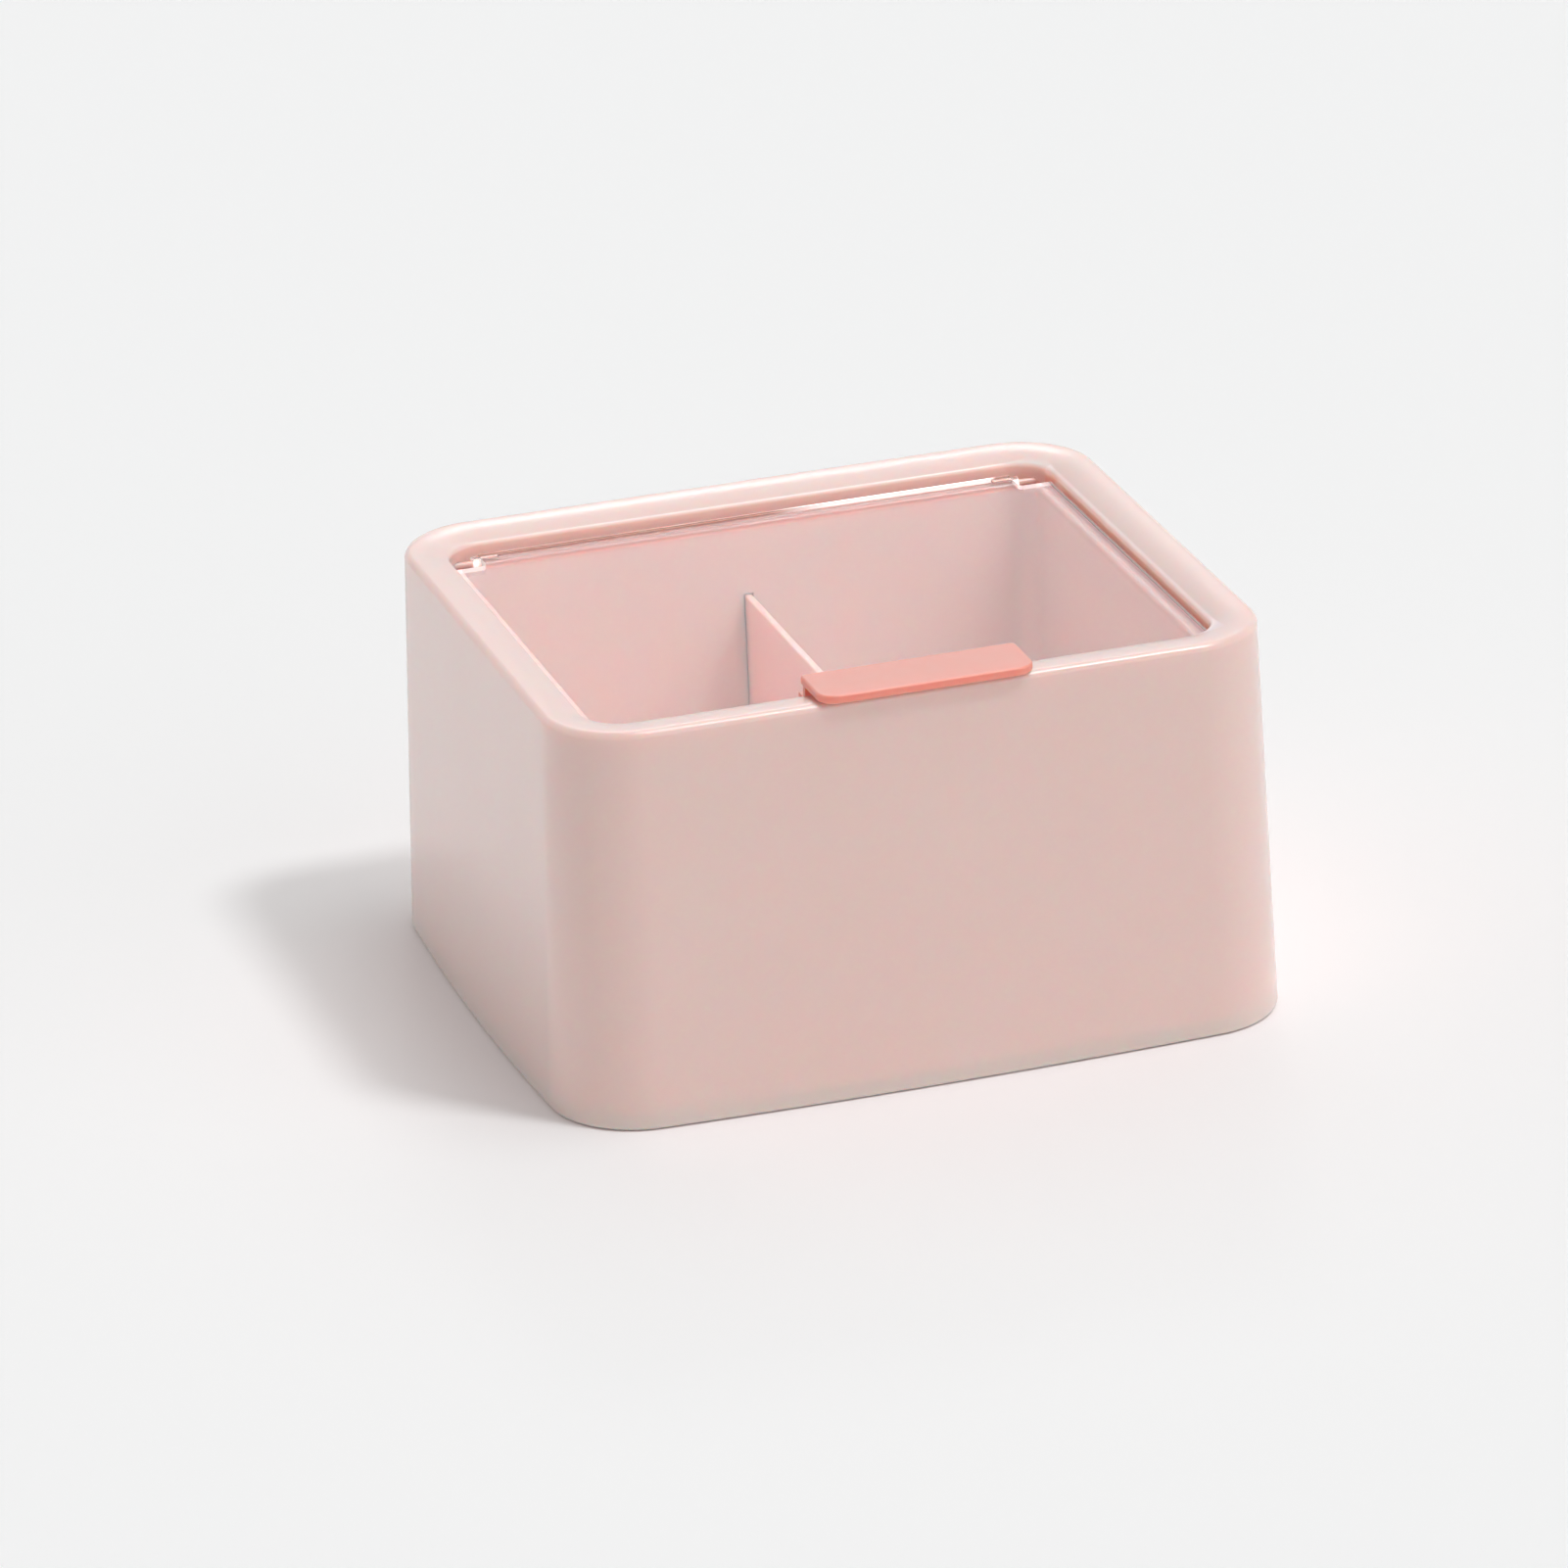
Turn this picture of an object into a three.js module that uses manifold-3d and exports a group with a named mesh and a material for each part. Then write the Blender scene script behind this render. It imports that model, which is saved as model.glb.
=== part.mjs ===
// Lipstick storage box with a clear flip lid. A tapered outer shell has a rolled rim with a recess for the
// lid. An inner bin with a snap-in divider stands in it on a screwed base cover, and the lid turns on two
// pins at the rear. Millimetres, +X to the right, +Y to the back, +Z up. The origin is on the table, under
// the middle of the box.
import * as THREE from 'three';
import { mergeVertices, toCreasedNormals } from 'three/addons/utils/BufferGeometryUtils.js';
import Module from 'manifold-3d';

const wasm = await Module();
wasm.setup();

// Outer shell
const rimLength = 150;
const rimDepth = 128.5;
const bodyHeight = 84;
const rimCornerRadius = 17.2;
const sideFlare = 2.4;
const frontFlare = 3.25;
const footCornerRadius = 19;
const footBow = 1.4;
const footRound = 0.5;
const shellWall = 2.4;
const rimSideWidth = 8.95;
const rimFrontWidth = 9.9;
const rimDrop = 1.5;
const rimThickness = 2.2;
const rimOuterRound = 1.5;
const rimInnerRound = 1;
const recessCornerRadius = 8.7;
const recessWall = 1.8;

// Lid and its hinge
const lidSink = 2.3;
const lidEdgeHeight = 3;
const tongueThickness = 1.8;
const lidEdgeRound = 0.5;
const pinRadius = 0.7;
const lugRadius = 1.4;
const lugLength = 1.6;
const hingeNotchDepth = 6;
const notchCornerRadius = 1.2;
const pinHold = 5.5;
const pinReach = 2.2;
const saddleWidth = 2.4;

// Pull tab
const tabLength = 45.2;
const tabOverhang = 1.9;
const tabThickness = 1.8;
const tabCornerRadius = 3.8;
const tabRearRadius = 1;
const tabEdgeRound = 0.5;
const tabWeb = 1.2;
const jawLength = 3;
const upperJaw = 1;

// Inner bin and its divider
const ledgeWidth = 3;
const flangeThickness = 1.8;
const binWall = 1.8;
const binFloor = 1.8;
const binDraft = 1.25;
const binFloorRound = 3;
const binLedgeRound = 0.8;
const dividerThickness = 1.6;
const dividerHeight = 55.9;
const dividerOffset = -0.7;
const dividerGrip = 0.6;
const dividerEdgeRound = 0.4;

// Base cover, foot pads and screws
const standOff = 0.5;
const coverRecess = 0.5;
const coverThickness = 2.2;
const coverRabbet = 1.2;
const socketHeight = 4;
const socketWall = 1.4;
const padRadius = 6;
const padInset = 19;
const padWell = 1;
const padRound = 0.3;
const bossRadius = 3.6;
const bossHeight = 13;
const bossRib = 1.6;
const pilotDepth = 9.5;
const shankRadius = 1.2;
const shankLength = 10;
const screwTip = 1.2;
const headRadius = 2.5;
const headHeight = 1.5;
const crossWidth = 0.6;
const crossSpan = 3;
const crossDepth = 0.8;
const cupWall = 1.4;
const cupFloor = 1.4;

// Clearances
const seatGap = 0.3;
const lidGap = 0.4;
const hingeBackGap = 0.7;
const pinGap = 0.1;
const threadGap = 0.1;
const overrun = 2;

// Counts of flat faces on round stretches
const cornerSteps = 8;
const bowSteps = 6;
const filletSteps = 4;
const domeSteps = 4;
const roundSides = 24;
const pinSides = 20;

// Heights worked out from the sizes above
const shellBottom = standOff;
const rimInnerZ = bodyHeight - rimDrop;
const lidTop = rimInnerZ - lidSink;
const lidBottom = lidTop - lidEdgeHeight;
const tongueBottom = lidTop - tongueThickness;
const ledgeZ = lidBottom - seatGap;
const recessBottom = ledgeZ + seatGap;
const coverBottom = shellBottom + coverRecess;
const coverTop = coverBottom + coverThickness;
const binBottom = coverTop + seatGap;
const binFloorZ = binBottom + binFloor;
const headTop = coverBottom + headHeight;
const cupTop = headTop + seatGap + cupFloor;
const cupRadius = headRadius + seatGap + cupWall;
const bossBottom = cupTop + seatGap;
const bossTop = bossBottom + bossHeight;

// The lid's recess and the hinge axis
const recess = {
  length: rimLength - 2 * rimSideWidth,
  depth: rimDepth - 2 * rimFrontWidth,
  radius: recessCornerRadius,
};
const hingeRound = lidEdgeHeight / 2;
const hingeY = recess.depth / 2 - hingeBackGap - hingeRound;
const hingeZ = lidTop - hingeRound;
const recessCornerX = recess.length / 2 - recess.radius;
const recessCornerY = recess.depth / 2 - recess.radius;
const lugEnd = recessCornerX + arcReach(recess.radius - lidGap, hingeY + lugRadius - recessCornerY);
const lugStart = lugEnd - lugLength;
const bearingX = recessCornerX + arcReach(recess.radius, hingeY - recessCornerY);

// How far an arc of this radius reaches sideways at this distance from its centre.
function arcReach(radius, distance) {
  return Math.sqrt(radius * radius - distance * distance);
}

// A rectangle with round corners at height z, drawn in by inset, whose sides bow out in their middles.
function outline(size, z, inset = 0, sideSteps = 1) {
  const { length, depth, radius, bow = 0, centreY = 0 } = size;
  const halfLength = length / 2 - inset;
  const halfDepth = depth / 2 - inset;
  const corner = radius - inset;
  const points = [];
  for (let quarter = 0; quarter < 4; quarter += 1) {
    const signX = quarter === 0 || quarter === 3 ? 1 : -1;
    const signY = quarter < 2 ? 1 : -1;
    const centre = new THREE.Vector2(signX * (halfLength - corner), signY * (halfDepth - corner));
    for (let step = 0; step <= cornerSteps; step += 1) {
      const angle = (Math.PI / 2) * (quarter + step / cornerSteps);
      points.push(new THREE.Vector2(Math.cos(angle), Math.sin(angle)).multiplyScalar(corner).add(centre));
    }
    const from = points.at(-1);
    const alongX = quarter % 2 === 0;
    const to = alongX
      ? new THREE.Vector2(-from.x, from.y)
      : new THREE.Vector2(from.x, -from.y);
    const out = alongX ? new THREE.Vector2(0, signY) : new THREE.Vector2(signX, 0);
    for (let step = 1; step < sideSteps; step += 1) {
      const share = step / sideSteps;
      const bulge = bow * (1 - (2 * share - 1) ** 2);
      points.push(from.clone().lerp(to, share).addScaledVector(out, bulge));
    }
  }
  return points.map((point) => new THREE.Vector3(point.x, point.y + centreY, z));
}

// The body's outside at height z: it widens and its sides bow out towards the foot.
function bodySize(z) {
  const share = (bodyHeight - z) / bodyHeight;
  return {
    length: rimLength + 2 * sideFlare * share,
    depth: rimDepth + 2 * frontFlare * share,
    radius: THREE.MathUtils.lerp(rimCornerRadius, footCornerRadius, share),
    bow: footBow * share,
  };
}

function bodyRing(z, inset = 0) {
  return outline(bodySize(z), z, inset, bowSteps);
}

function recessRing(z, inset = 0) {
  return outline(recess, z, inset, bowSteps);
}

function blendRings(a, b, share, z) {
  return a.map((point, index) => point.clone().lerp(b[index], share).setZ(z));
}

// A skin over rings of equal counts, bottom ring first. It closes on itself like a tyre, or has flat caps.
function loft(rings, capped = true) {
  const count = rings[0].length;
  const points = rings.flat();
  const indices = [];
  const bands = capped ? rings.length - 1 : rings.length;
  for (let band = 0; band < bands; band += 1) {
    const low = band * count;
    const high = ((band + 1) % rings.length) * count;
    for (let here = 0; here < count; here += 1) {
      const next = (here + 1) % count;
      indices.push(low + here, low + next, high + next);
      indices.push(low + here, high + next, high + here);
    }
  }
  if (capped) {
    const top = (rings.length - 1) * count;
    const bottomCentre = points.push(middleOf(rings[0])) - 1;
    const topCentre = points.push(middleOf(rings.at(-1))) - 1;
    for (let here = 0; here < count; here += 1) {
      const next = (here + 1) % count;
      indices.push(next, here, bottomCentre);
      indices.push(top + here, top + next, topCentre);
    }
  }
  const geometry = new THREE.BufferGeometry().setFromPoints(points);
  geometry.setIndex(indices);
  return solidOf(geometry);
}

function middleOf(ring) {
  const sum = ring.reduce((total, point) => total.add(point), new THREE.Vector3());
  return sum.divideScalar(ring.length);
}

// A closed geometry as a solid that can be cut and joined.
function solidOf(geometry) {
  geometry.deleteAttribute('normal');
  geometry.deleteAttribute('uv');
  const merged = mergeVertices(geometry);
  const corners = merged.index.array;
  const kept = [];
  for (let at = 0; at < corners.length; at += 3) {
    const [a, b, c] = corners.subarray(at, at + 3);
    if (a !== b && b !== c && c !== a) {
      kept.push(a, b, c);
    }
  }
  return new wasm.Manifold(new wasm.Mesh({
    numProp: 3,
    vertProperties: new Float32Array(merged.attributes.position.array),
    triVerts: new Uint32Array(kept),
  }));
}

function boxBetween(low, high) {
  const size = high.clone().sub(low);
  const geometry = new THREE.BoxGeometry(size.x, size.y, size.z);
  const middle = low.clone().add(high).multiplyScalar(0.5);
  return solidOf(geometry.translate(middle.x, middle.y, middle.z));
}

// An upright round bar from one height to another.
function column(x, y, radius, low, high) {
  const geometry = new THREE.CylinderGeometry(radius, radius, high - low, roundSides);
  geometry.rotateX(Math.PI / 2);
  return solidOf(geometry.translate(x, y, (low + high) / 2));
}

// A round bar along X on the hinge axis.
function axisBar(radius, fromX, toX) {
  const geometry = new THREE.CylinderGeometry(radius, radius, Math.abs(toX - fromX), pinSides);
  geometry.rotateZ(Math.PI / 2);
  return solidOf(geometry.translate((fromX + toX) / 2, hingeY, hingeZ));
}

// A profile in Y and Z, drawn along X between two ends.
function drawnAlongX(shape, fromX, toX) {
  const geometry = new THREE.ExtrudeGeometry(shape, {
    depth: toX - fromX,
    bevelEnabled: false,
    curveSegments: roundSides / 2,
  });
  geometry.rotateY(Math.PI / 2);
  geometry.rotateX(Math.PI / 2);
  return solidOf(geometry.translate(fromX, 0, 0));
}

// Steps of a quarter round, as shares of its radius: out from its start and up along it.
function quarterSteps() {
  return Array.from({ length: filletSteps + 1 }, (_, step) => {
    const angle = (Math.PI / 2) * (step / filletSteps);
    return { out: 1 - Math.cos(angle), up: Math.sin(angle) };
  });
}

// Rim: the outer round, a crest that falls towards the lid, and the inner round above the recess wall.
function rimRings() {
  const crest = bodyRing(bodyHeight, rimOuterRound);
  const shoulder = bodyHeight - rimOuterRound;
  const outer = quarterSteps().map(({ out, up }) => {
    const z = shoulder + rimOuterRound * up;
    return bodyRing(z, rimOuterRound * out);
  });
  const slope = Math.atan2(2 * rimDrop, rimSideWidth);
  const innerEdge = recessRing(rimInnerZ, -rimInnerRound * (1 - Math.sin(slope)));
  const dome = [];
  for (let step = 1; step <= domeSteps; step += 1) {
    const share = step / domeSteps;
    dome.push(blendRings(crest, innerEdge, share, bodyHeight - rimDrop * share ** 2));
  }
  const centreZ = rimInnerZ - rimInnerRound * Math.cos(slope);
  const inner = [];
  for (let step = 1; step <= filletSteps; step += 1) {
    const angle = THREE.MathUtils.lerp(slope, Math.PI / 2, step / filletSteps);
    const z = centreZ + rimInnerRound * Math.cos(angle);
    inner.push(recessRing(z, -rimInnerRound * (1 - Math.sin(angle))));
  }
  return [...outer, ...dome, ...inner];
}

// Places of the four screws: in the shell's corners, where their cups just clear its wall.
function screwPlaces() {
  const size = bodySize(bossBottom);
  const inner = size.radius - shellWall;
  const centreX = size.length / 2 - size.radius;
  const centreY = size.depth / 2 - size.radius;
  const reach = (inner - seatGap - cupRadius) * Math.SQRT1_2;
  return cornersOf(centreX + reach, centreY + reach);
}

function padPlaces() {
  return cornersOf(rimLength / 2 - padInset, rimDepth / 2 - padInset);
}

function cornersOf(x, y) {
  return [
    { name: 'front_left', x: -x, y: -y },
    { name: 'front_right', x, y: -y },
    { name: 'rear_left', x: -x, y },
    { name: 'rear_right', x, y },
  ];
}

// Tapered double wall: up the outside, over the rim, down the recess and back up inside.
function outerShell() {
  const foot = quarterSteps().reverse().map(({ out, up }) => {
    const z = shellBottom + footRound * (1 - up);
    return bodyRing(z, footRound * out);
  });
  const rabbetTop = coverTop + seatGap;
  const rabbetInset = shellWall - coverRabbet;
  const underRim = rimInnerZ - rimThickness;
  let shell = loft([
    ...foot,
    ...rimRings(),
    recessRing(recessBottom),
    recessRing(recessBottom, -recessWall),
    recessRing(underRim, -recessWall),
    bodyRing(bodyHeight - rimThickness, shellWall),
    bodyRing(rabbetTop, shellWall),
    bodyRing(rabbetTop, rabbetInset),
    bodyRing(shellBottom, rabbetInset),
  ], false);
  shell = shell.add(screwBosses());
  return shell.subtract(hingeSlots());
}

function screwBosses() {
  const envelope = loft([bodyRing(bossBottom, shellWall / 2), bodyRing(bossTop, shellWall / 2)]);
  const pilotRadius = shankRadius + threadGap;
  const bosses = screwPlaces().map(({ x, y }) => {
    const boss = column(x, y, bossRadius, bossBottom, bossTop).add(cornerRib(x, y));
    const pilot = column(x, y, pilotRadius, bossBottom - overrun, bossBottom + pilotDepth);
    return boss.intersect(envelope).subtract(pilot);
  });
  return bosses.reduce((all, boss) => all.add(boss));
}

// A rib from a screw boss out into the shell's round corner.
function cornerRib(x, y) {
  const reach = cupRadius + seatGap + shellWall;
  const geometry = new THREE.BoxGeometry(reach, bossRib, bossHeight);
  geometry.translate(reach / 2, 0, 0);
  geometry.rotateZ(Math.atan2(Math.sign(y), Math.sign(x)));
  return solidOf(geometry.translate(x, y, (bossBottom + bossTop) / 2));
}

// Upper halves of the pin bearings, open below so that the lid is laid in before the bin.
function hingeSlots() {
  const slotHalf = saddleWidth / 2 + seatGap;
  const slots = [-1, 1].map((side) => {
    const inner = side * (lugEnd + lidGap / 2);
    const outer = side * (bearingX + recess.radius);
    const bore = axisBar(pinRadius + pinGap, inner, outer);
    const mouth = boxBetween(
      new THREE.Vector3(Math.min(inner, outer), hingeY - slotHalf, recessBottom - overrun),
      new THREE.Vector3(Math.max(inner, outer), hingeY + slotHalf, hingeZ),
    );
    const wallBand = recessWallBand();
    return bore.add(mouth).intersect(wallBand);
  });
  return slots[0].add(slots[1]);
}

// The space of the recess wall with a little to spare, which keeps a cut out of the rim and the body wall.
function recessWallBand() {
  const low = recessBottom - overrun;
  return loft([recessRing(low, -recessWall - seatGap), recessRing(rimInnerZ, -recessWall - seatGap)]);
}

const binOpening = {
  length: recess.length - 2 * seatGap - 2 * ledgeWidth,
  depth: recess.depth - 2 * seatGap - 2 * ledgeWidth,
  radius: recess.radius - seatGap - ledgeWidth,
};

// The bin's inside at height z, drawn in towards the floor by its draft.
function binSize(z) {
  const share = (ledgeZ - z) / (ledgeZ - binFloorZ);
  const narrowing = 2 * binDraft * share;
  return {
    length: binOpening.length - narrowing,
    depth: binOpening.depth - narrowing,
    radius: binOpening.radius,
  };
}

function binRing(z, inset = 0) {
  return outline(binSize(z), z, inset);
}

function flangeRing(z) {
  return outline(recess, z, -recessWall);
}

function innerBin() {
  const outerRound = binFloorRound;
  const bottom = quarterSteps().reverse().map(({ out, up }) => {
    const z = binBottom + outerRound * (1 - up);
    return outline(binSize(z), z, outerRound * out - binWall);
  });
  const lip = quarterSteps().map(({ out, up }) => {
    const z = ledgeZ - binLedgeRound * (1 - up);
    return binRing(z, -binLedgeRound * out);
  }).reverse();
  const floor = quarterSteps().map(({ out, up }) => {
    const z = binFloorZ + binFloorRound * (1 - up);
    return binRing(z, binFloorRound * out);
  });
  const tub = loft([
    ...bottom,
    binRing(ledgeZ - flangeThickness, -binWall),
    flangeRing(ledgeZ - flangeThickness),
    flangeRing(ledgeZ),
    ...lip,
    ...floor,
  ]);
  return tub.add(hingeSaddles()).subtract(dividerGrooves());
}

// Lower halves of the pin bearings, on the bin's flange.
function hingeSaddles() {
  const flange = loft([flangeRing(ledgeZ - flangeThickness / 2), flangeRing(hingeZ)]);
  const inside = loft([outline(recess, ledgeZ), outline(recess, hingeZ + overrun)]);
  const saddles = [-1, 1].map((side) => {
    const ends = [side * (bearingX - overrun), side * (bearingX + recess.radius)];
    const block = boxBetween(
      new THREE.Vector3(Math.min(...ends), hingeY - saddleWidth / 2, ledgeZ - flangeThickness / 2),
      new THREE.Vector3(Math.max(...ends), hingeY + saddleWidth / 2, hingeZ - seatGap),
    );
    return block.intersect(flange).subtract(inside).subtract(axisBar(pinRadius + pinGap, ...ends));
  });
  return saddles[0].add(saddles[1]);
}

const dividerBottom = binFloorZ + seatGap;
const dividerTop = dividerBottom + dividerHeight;

// The divider's side view, whose ends follow the bin's draft, drawn to a thickness.
function dividerSide(thickness, clearance) {
  const low = dividerBottom - clearance;
  const high = dividerTop + clearance;
  const halfLow = binSize(low).depth / 2 + dividerGrip + clearance;
  const halfHigh = binSize(high).depth / 2 + dividerGrip + clearance;
  const shape = new THREE.Shape();
  shape.moveTo(-halfLow, low);
  shape.lineTo(halfLow, low);
  shape.lineTo(halfHigh, high);
  shape.lineTo(-halfHigh, high);
  return drawnAlongX(shape, dividerOffset - thickness / 2, dividerOffset + thickness / 2);
}

// Blind grooves in the bin's front and back walls, which hold the divider's ends.
function dividerGrooves() {
  return dividerSide(dividerThickness + 2 * seatGap, seatGap);
}

function divider() {
  const half = dividerThickness / 2;
  const round = dividerEdgeRound;
  const shape = new THREE.Shape();
  shape.moveTo(-half, dividerBottom - overrun);
  shape.lineTo(half, dividerBottom - overrun);
  shape.absarc(half - round, dividerTop - round, round, 0, Math.PI / 2, false);
  shape.absarc(-half + round, dividerTop - round, round, Math.PI / 2, Math.PI, false);
  const reach = recess.depth / 2;
  const geometry = new THREE.ExtrudeGeometry(shape, {
    depth: 2 * reach,
    bevelEnabled: false,
    curveSegments: filletSteps,
  });
  geometry.rotateX(Math.PI / 2);
  const bar = solidOf(geometry.translate(dividerOffset, reach, 0));
  return bar.intersect(dividerSide(dividerThickness + 2 * overrun, 0));
}

const lidFront = -(recess.depth / 2 - lidGap);
const lidHalfLength = recess.length / 2 - lidGap;

const lidReach = recess.depth + recess.radius;

// The plan of the lid, run past its rear, where its side view ends it.
const lidPlan = {
  length: 2 * lidHalfLength,
  depth: lidReach,
  radius: recess.radius - lidGap,
  centreY: lidFront + lidReach / 2,
};

function lidBody() {
  const low = quarterSteps().reverse().map(({ out, up }) => {
    const z = lidBottom + lidEdgeRound * (1 - up);
    return outline(lidPlan, z, lidEdgeRound * out);
  });
  const high = quarterSteps().map(({ out, up }) => {
    const z = lidTop - lidEdgeRound * (1 - up);
    return outline(lidPlan, z, lidEdgeRound * out);
  });
  const plate = loft([...low, ...high]);
  const side = new THREE.Shape();
  side.moveTo(lidFront - overrun, lidBottom);
  side.lineTo(hingeY, lidBottom);
  side.absarc(hingeY, hingeZ, hingeRound, -Math.PI / 2, 0, false);
  const edgeY = hingeY + hingeRound - lidEdgeRound;
  side.absarc(edgeY, lidTop - lidEdgeRound, lidEdgeRound, 0, Math.PI / 2, false);
  side.lineTo(lidFront - overrun, lidTop);
  return plate.intersect(drawnAlongX(side, -lidHalfLength - overrun, lidHalfLength + overrun));
}

// Square cuts at the rear corners, which clear the recess's round corners as the lid turns up.
function lidNotch(side) {
  const shape = new THREE.Shape();
  const front = hingeY - hingeNotchDepth;
  const inner = side * lugStart;
  const outer = side * (lidHalfLength + overrun);
  const back = hingeY + hingeRound + overrun;
  const round = notchCornerRadius;
  shape.moveTo(outer, front);
  shape.lineTo(outer, back);
  shape.lineTo(inner, back);
  shape.lineTo(inner, front + round);
  shape.quadraticCurveTo(inner, front, inner + side * round, front);
  const geometry = new THREE.ExtrudeGeometry(shape, {
    depth: lidEdgeHeight + 2 * overrun,
    bevelEnabled: false,
    curveSegments: filletSteps,
  });
  return solidOf(geometry.translate(0, 0, lidBottom - overrun));
}

// Where the tab's web drops behind the rim: the lid's front edge steps back there.
const webRear = lidFront + tabWeb;
const tabSeat = webRear + seatGap;

function tabNotch() {
  const half = tabLength / 2 + seatGap;
  const through = boxBetween(
    new THREE.Vector3(-half, lidFront - overrun, lidBottom - overrun),
    new THREE.Vector3(half, tabSeat, lidTop + overrun),
  );
  const under = boxBetween(
    new THREE.Vector3(-half, lidFront - overrun, lidBottom - overrun),
    new THREE.Vector3(half, webRear + jawLength + seatGap, tongueBottom),
  );
  return through.add(under);
}

function lid() {
  let solid = lidBody().subtract(tabNotch());
  for (const side of [-1, 1]) {
    solid = solid.subtract(lidNotch(side));
    solid = solid.add(axisBar(lugRadius, side * (lugStart - lugLength), side * lugEnd));
    const boreStart = side * (lugEnd - pinHold - pinGap);
    solid = solid.subtract(axisBar(pinRadius + pinGap, boreStart, side * (lugEnd + overrun)));
  }
  return solid;
}

function hingePin(side) {
  const start = side * (lugEnd - pinHold);
  const end = side * (bearingX + pinReach);
  return axisBar(pinRadius, start, end);
}

// Coral plate over the front rim, on a web that clips on the lid with two jaws.
function pullTab() {
  const bottom = bodyHeight + seatGap;
  const front = -(rimDepth / 2 + tabOverhang);
  const rear = webRear + tabEdgeRound;
  const half = tabLength / 2;
  const shape = new THREE.Shape();
  tabCorner(shape, half, rear, tabRearRadius, 0);
  tabCorner(shape, -half, rear, tabRearRadius, 1);
  tabCorner(shape, -half, front, tabCornerRadius, 2);
  tabCorner(shape, half, front, tabCornerRadius, 3);
  const geometry = new THREE.ExtrudeGeometry(shape, {
    depth: tabThickness - 2 * tabEdgeRound,
    bevelThickness: tabEdgeRound,
    bevelSize: tabEdgeRound,
    bevelSegments: filletSteps,
    curveSegments: cornerSteps,
  });
  const plate = solidOf(geometry.translate(0, 0, bottom + tabEdgeRound));
  return plate.add(tabClip(bottom));
}

// A round corner of the plate, turning through one quarter. The edge round is added outside it later.
function tabCorner(shape, x, y, radius, quarter) {
  const centreX = x - Math.sign(x) * radius;
  const centreY = quarter < 2 ? y - radius : y + radius;
  const start = (Math.PI / 2) * quarter;
  shape.absarc(centreX, centreY, radius - tabEdgeRound, start, start + Math.PI / 2, false);
}

function tabClip(plateBottom) {
  const jawEnd = webRear + jawLength;
  const shape = new THREE.Shape();
  shape.moveTo(lidFront, lidBottom);
  shape.lineTo(jawEnd, lidBottom);
  shape.lineTo(jawEnd, tongueBottom - seatGap);
  shape.lineTo(webRear, tongueBottom - seatGap);
  shape.lineTo(webRear, lidTop + seatGap);
  shape.lineTo(jawEnd, lidTop + seatGap);
  shape.lineTo(jawEnd, lidTop + seatGap + upperJaw);
  shape.lineTo(webRear, lidTop + seatGap + upperJaw);
  shape.lineTo(webRear, plateBottom + tabThickness / 2);
  shape.lineTo(lidFront, plateBottom + tabThickness / 2);
  const half = tabLength / 2 - tabEdgeRound;
  return drawnAlongX(shape, -half, half);
}

// Base plate that closes the double wall, with a socket for the bin's foot and cups for the screws.
function baseCover() {
  const inset = shellWall - coverRabbet + seatGap;
  const plate = loft([bodyRing(coverBottom, inset), bodyRing(coverTop, inset)]);
  const low = coverTop - coverThickness / 2;
  const high = coverTop + socketHeight;
  const inside = binWall + seatGap;
  const outside = inside + socketWall;
  const socket = loft([
    binRing(low, -outside),
    binRing(high, -outside),
    binRing(high, -inside),
    binRing(low, -inside),
  ], false);
  let cover = plate.add(socket);
  for (const { x, y } of screwPlaces()) {
    cover = cover.add(column(x, y, cupRadius, coverBottom, cupTop));
    cover = cover.subtract(column(x, y, headRadius + seatGap, coverBottom - overrun, headTop + seatGap));
    cover = cover.subtract(column(x, y, shankRadius + seatGap, coverBottom, cupTop + overrun));
  }
  for (const { x, y } of padPlaces()) {
    cover = cover.subtract(column(x, y, padRadius + seatGap, coverBottom - overrun, coverBottom + padWell));
  }
  return cover;
}

// Silicone pad with a rounded lower edge. Its top seats in the cover's well.
function footPad() {
  const top = coverBottom + padWell - seatGap;
  const profile = [new THREE.Vector2(0, 0)];
  for (const { out, up } of quarterSteps().reverse()) {
    profile.push(new THREE.Vector2(padRadius - padRound * out, padRound * (1 - up)));
  }
  profile.push(new THREE.Vector2(padRadius, top));
  profile.push(new THREE.Vector2(0, top));
  return turned(profile);
}

// Self-tapping screw with a pan head and a cross recess, standing on its head.
function baseScrew() {
  const dome = headHeight / 2;
  const tip = headHeight + shankLength;
  const profile = [new THREE.Vector2(0, 0)];
  for (const { out, up } of quarterSteps().reverse()) {
    profile.push(new THREE.Vector2(headRadius - dome * out, dome * (1 - up)));
  }
  profile.push(new THREE.Vector2(headRadius, headHeight));
  profile.push(new THREE.Vector2(shankRadius, headHeight));
  profile.push(new THREE.Vector2(shankRadius, tip - screwTip));
  profile.push(new THREE.Vector2(0, tip));
  let screw = turned(profile);
  for (const [spanX, spanY] of [[crossSpan, crossWidth], [crossWidth, crossSpan]]) {
    screw = screw.subtract(boxBetween(
      new THREE.Vector3(-spanX / 2, -spanY / 2, -overrun),
      new THREE.Vector3(spanX / 2, spanY / 2, crossDepth),
    ));
  }
  return screw;
}

// A profile of radius and height, turned about an upright axis. It starts and ends on the axis.
function turned(profile) {
  const geometry = new THREE.LatheGeometry(profile, roundSides);
  return solidOf(geometry.rotateX(Math.PI / 2));
}

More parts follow.
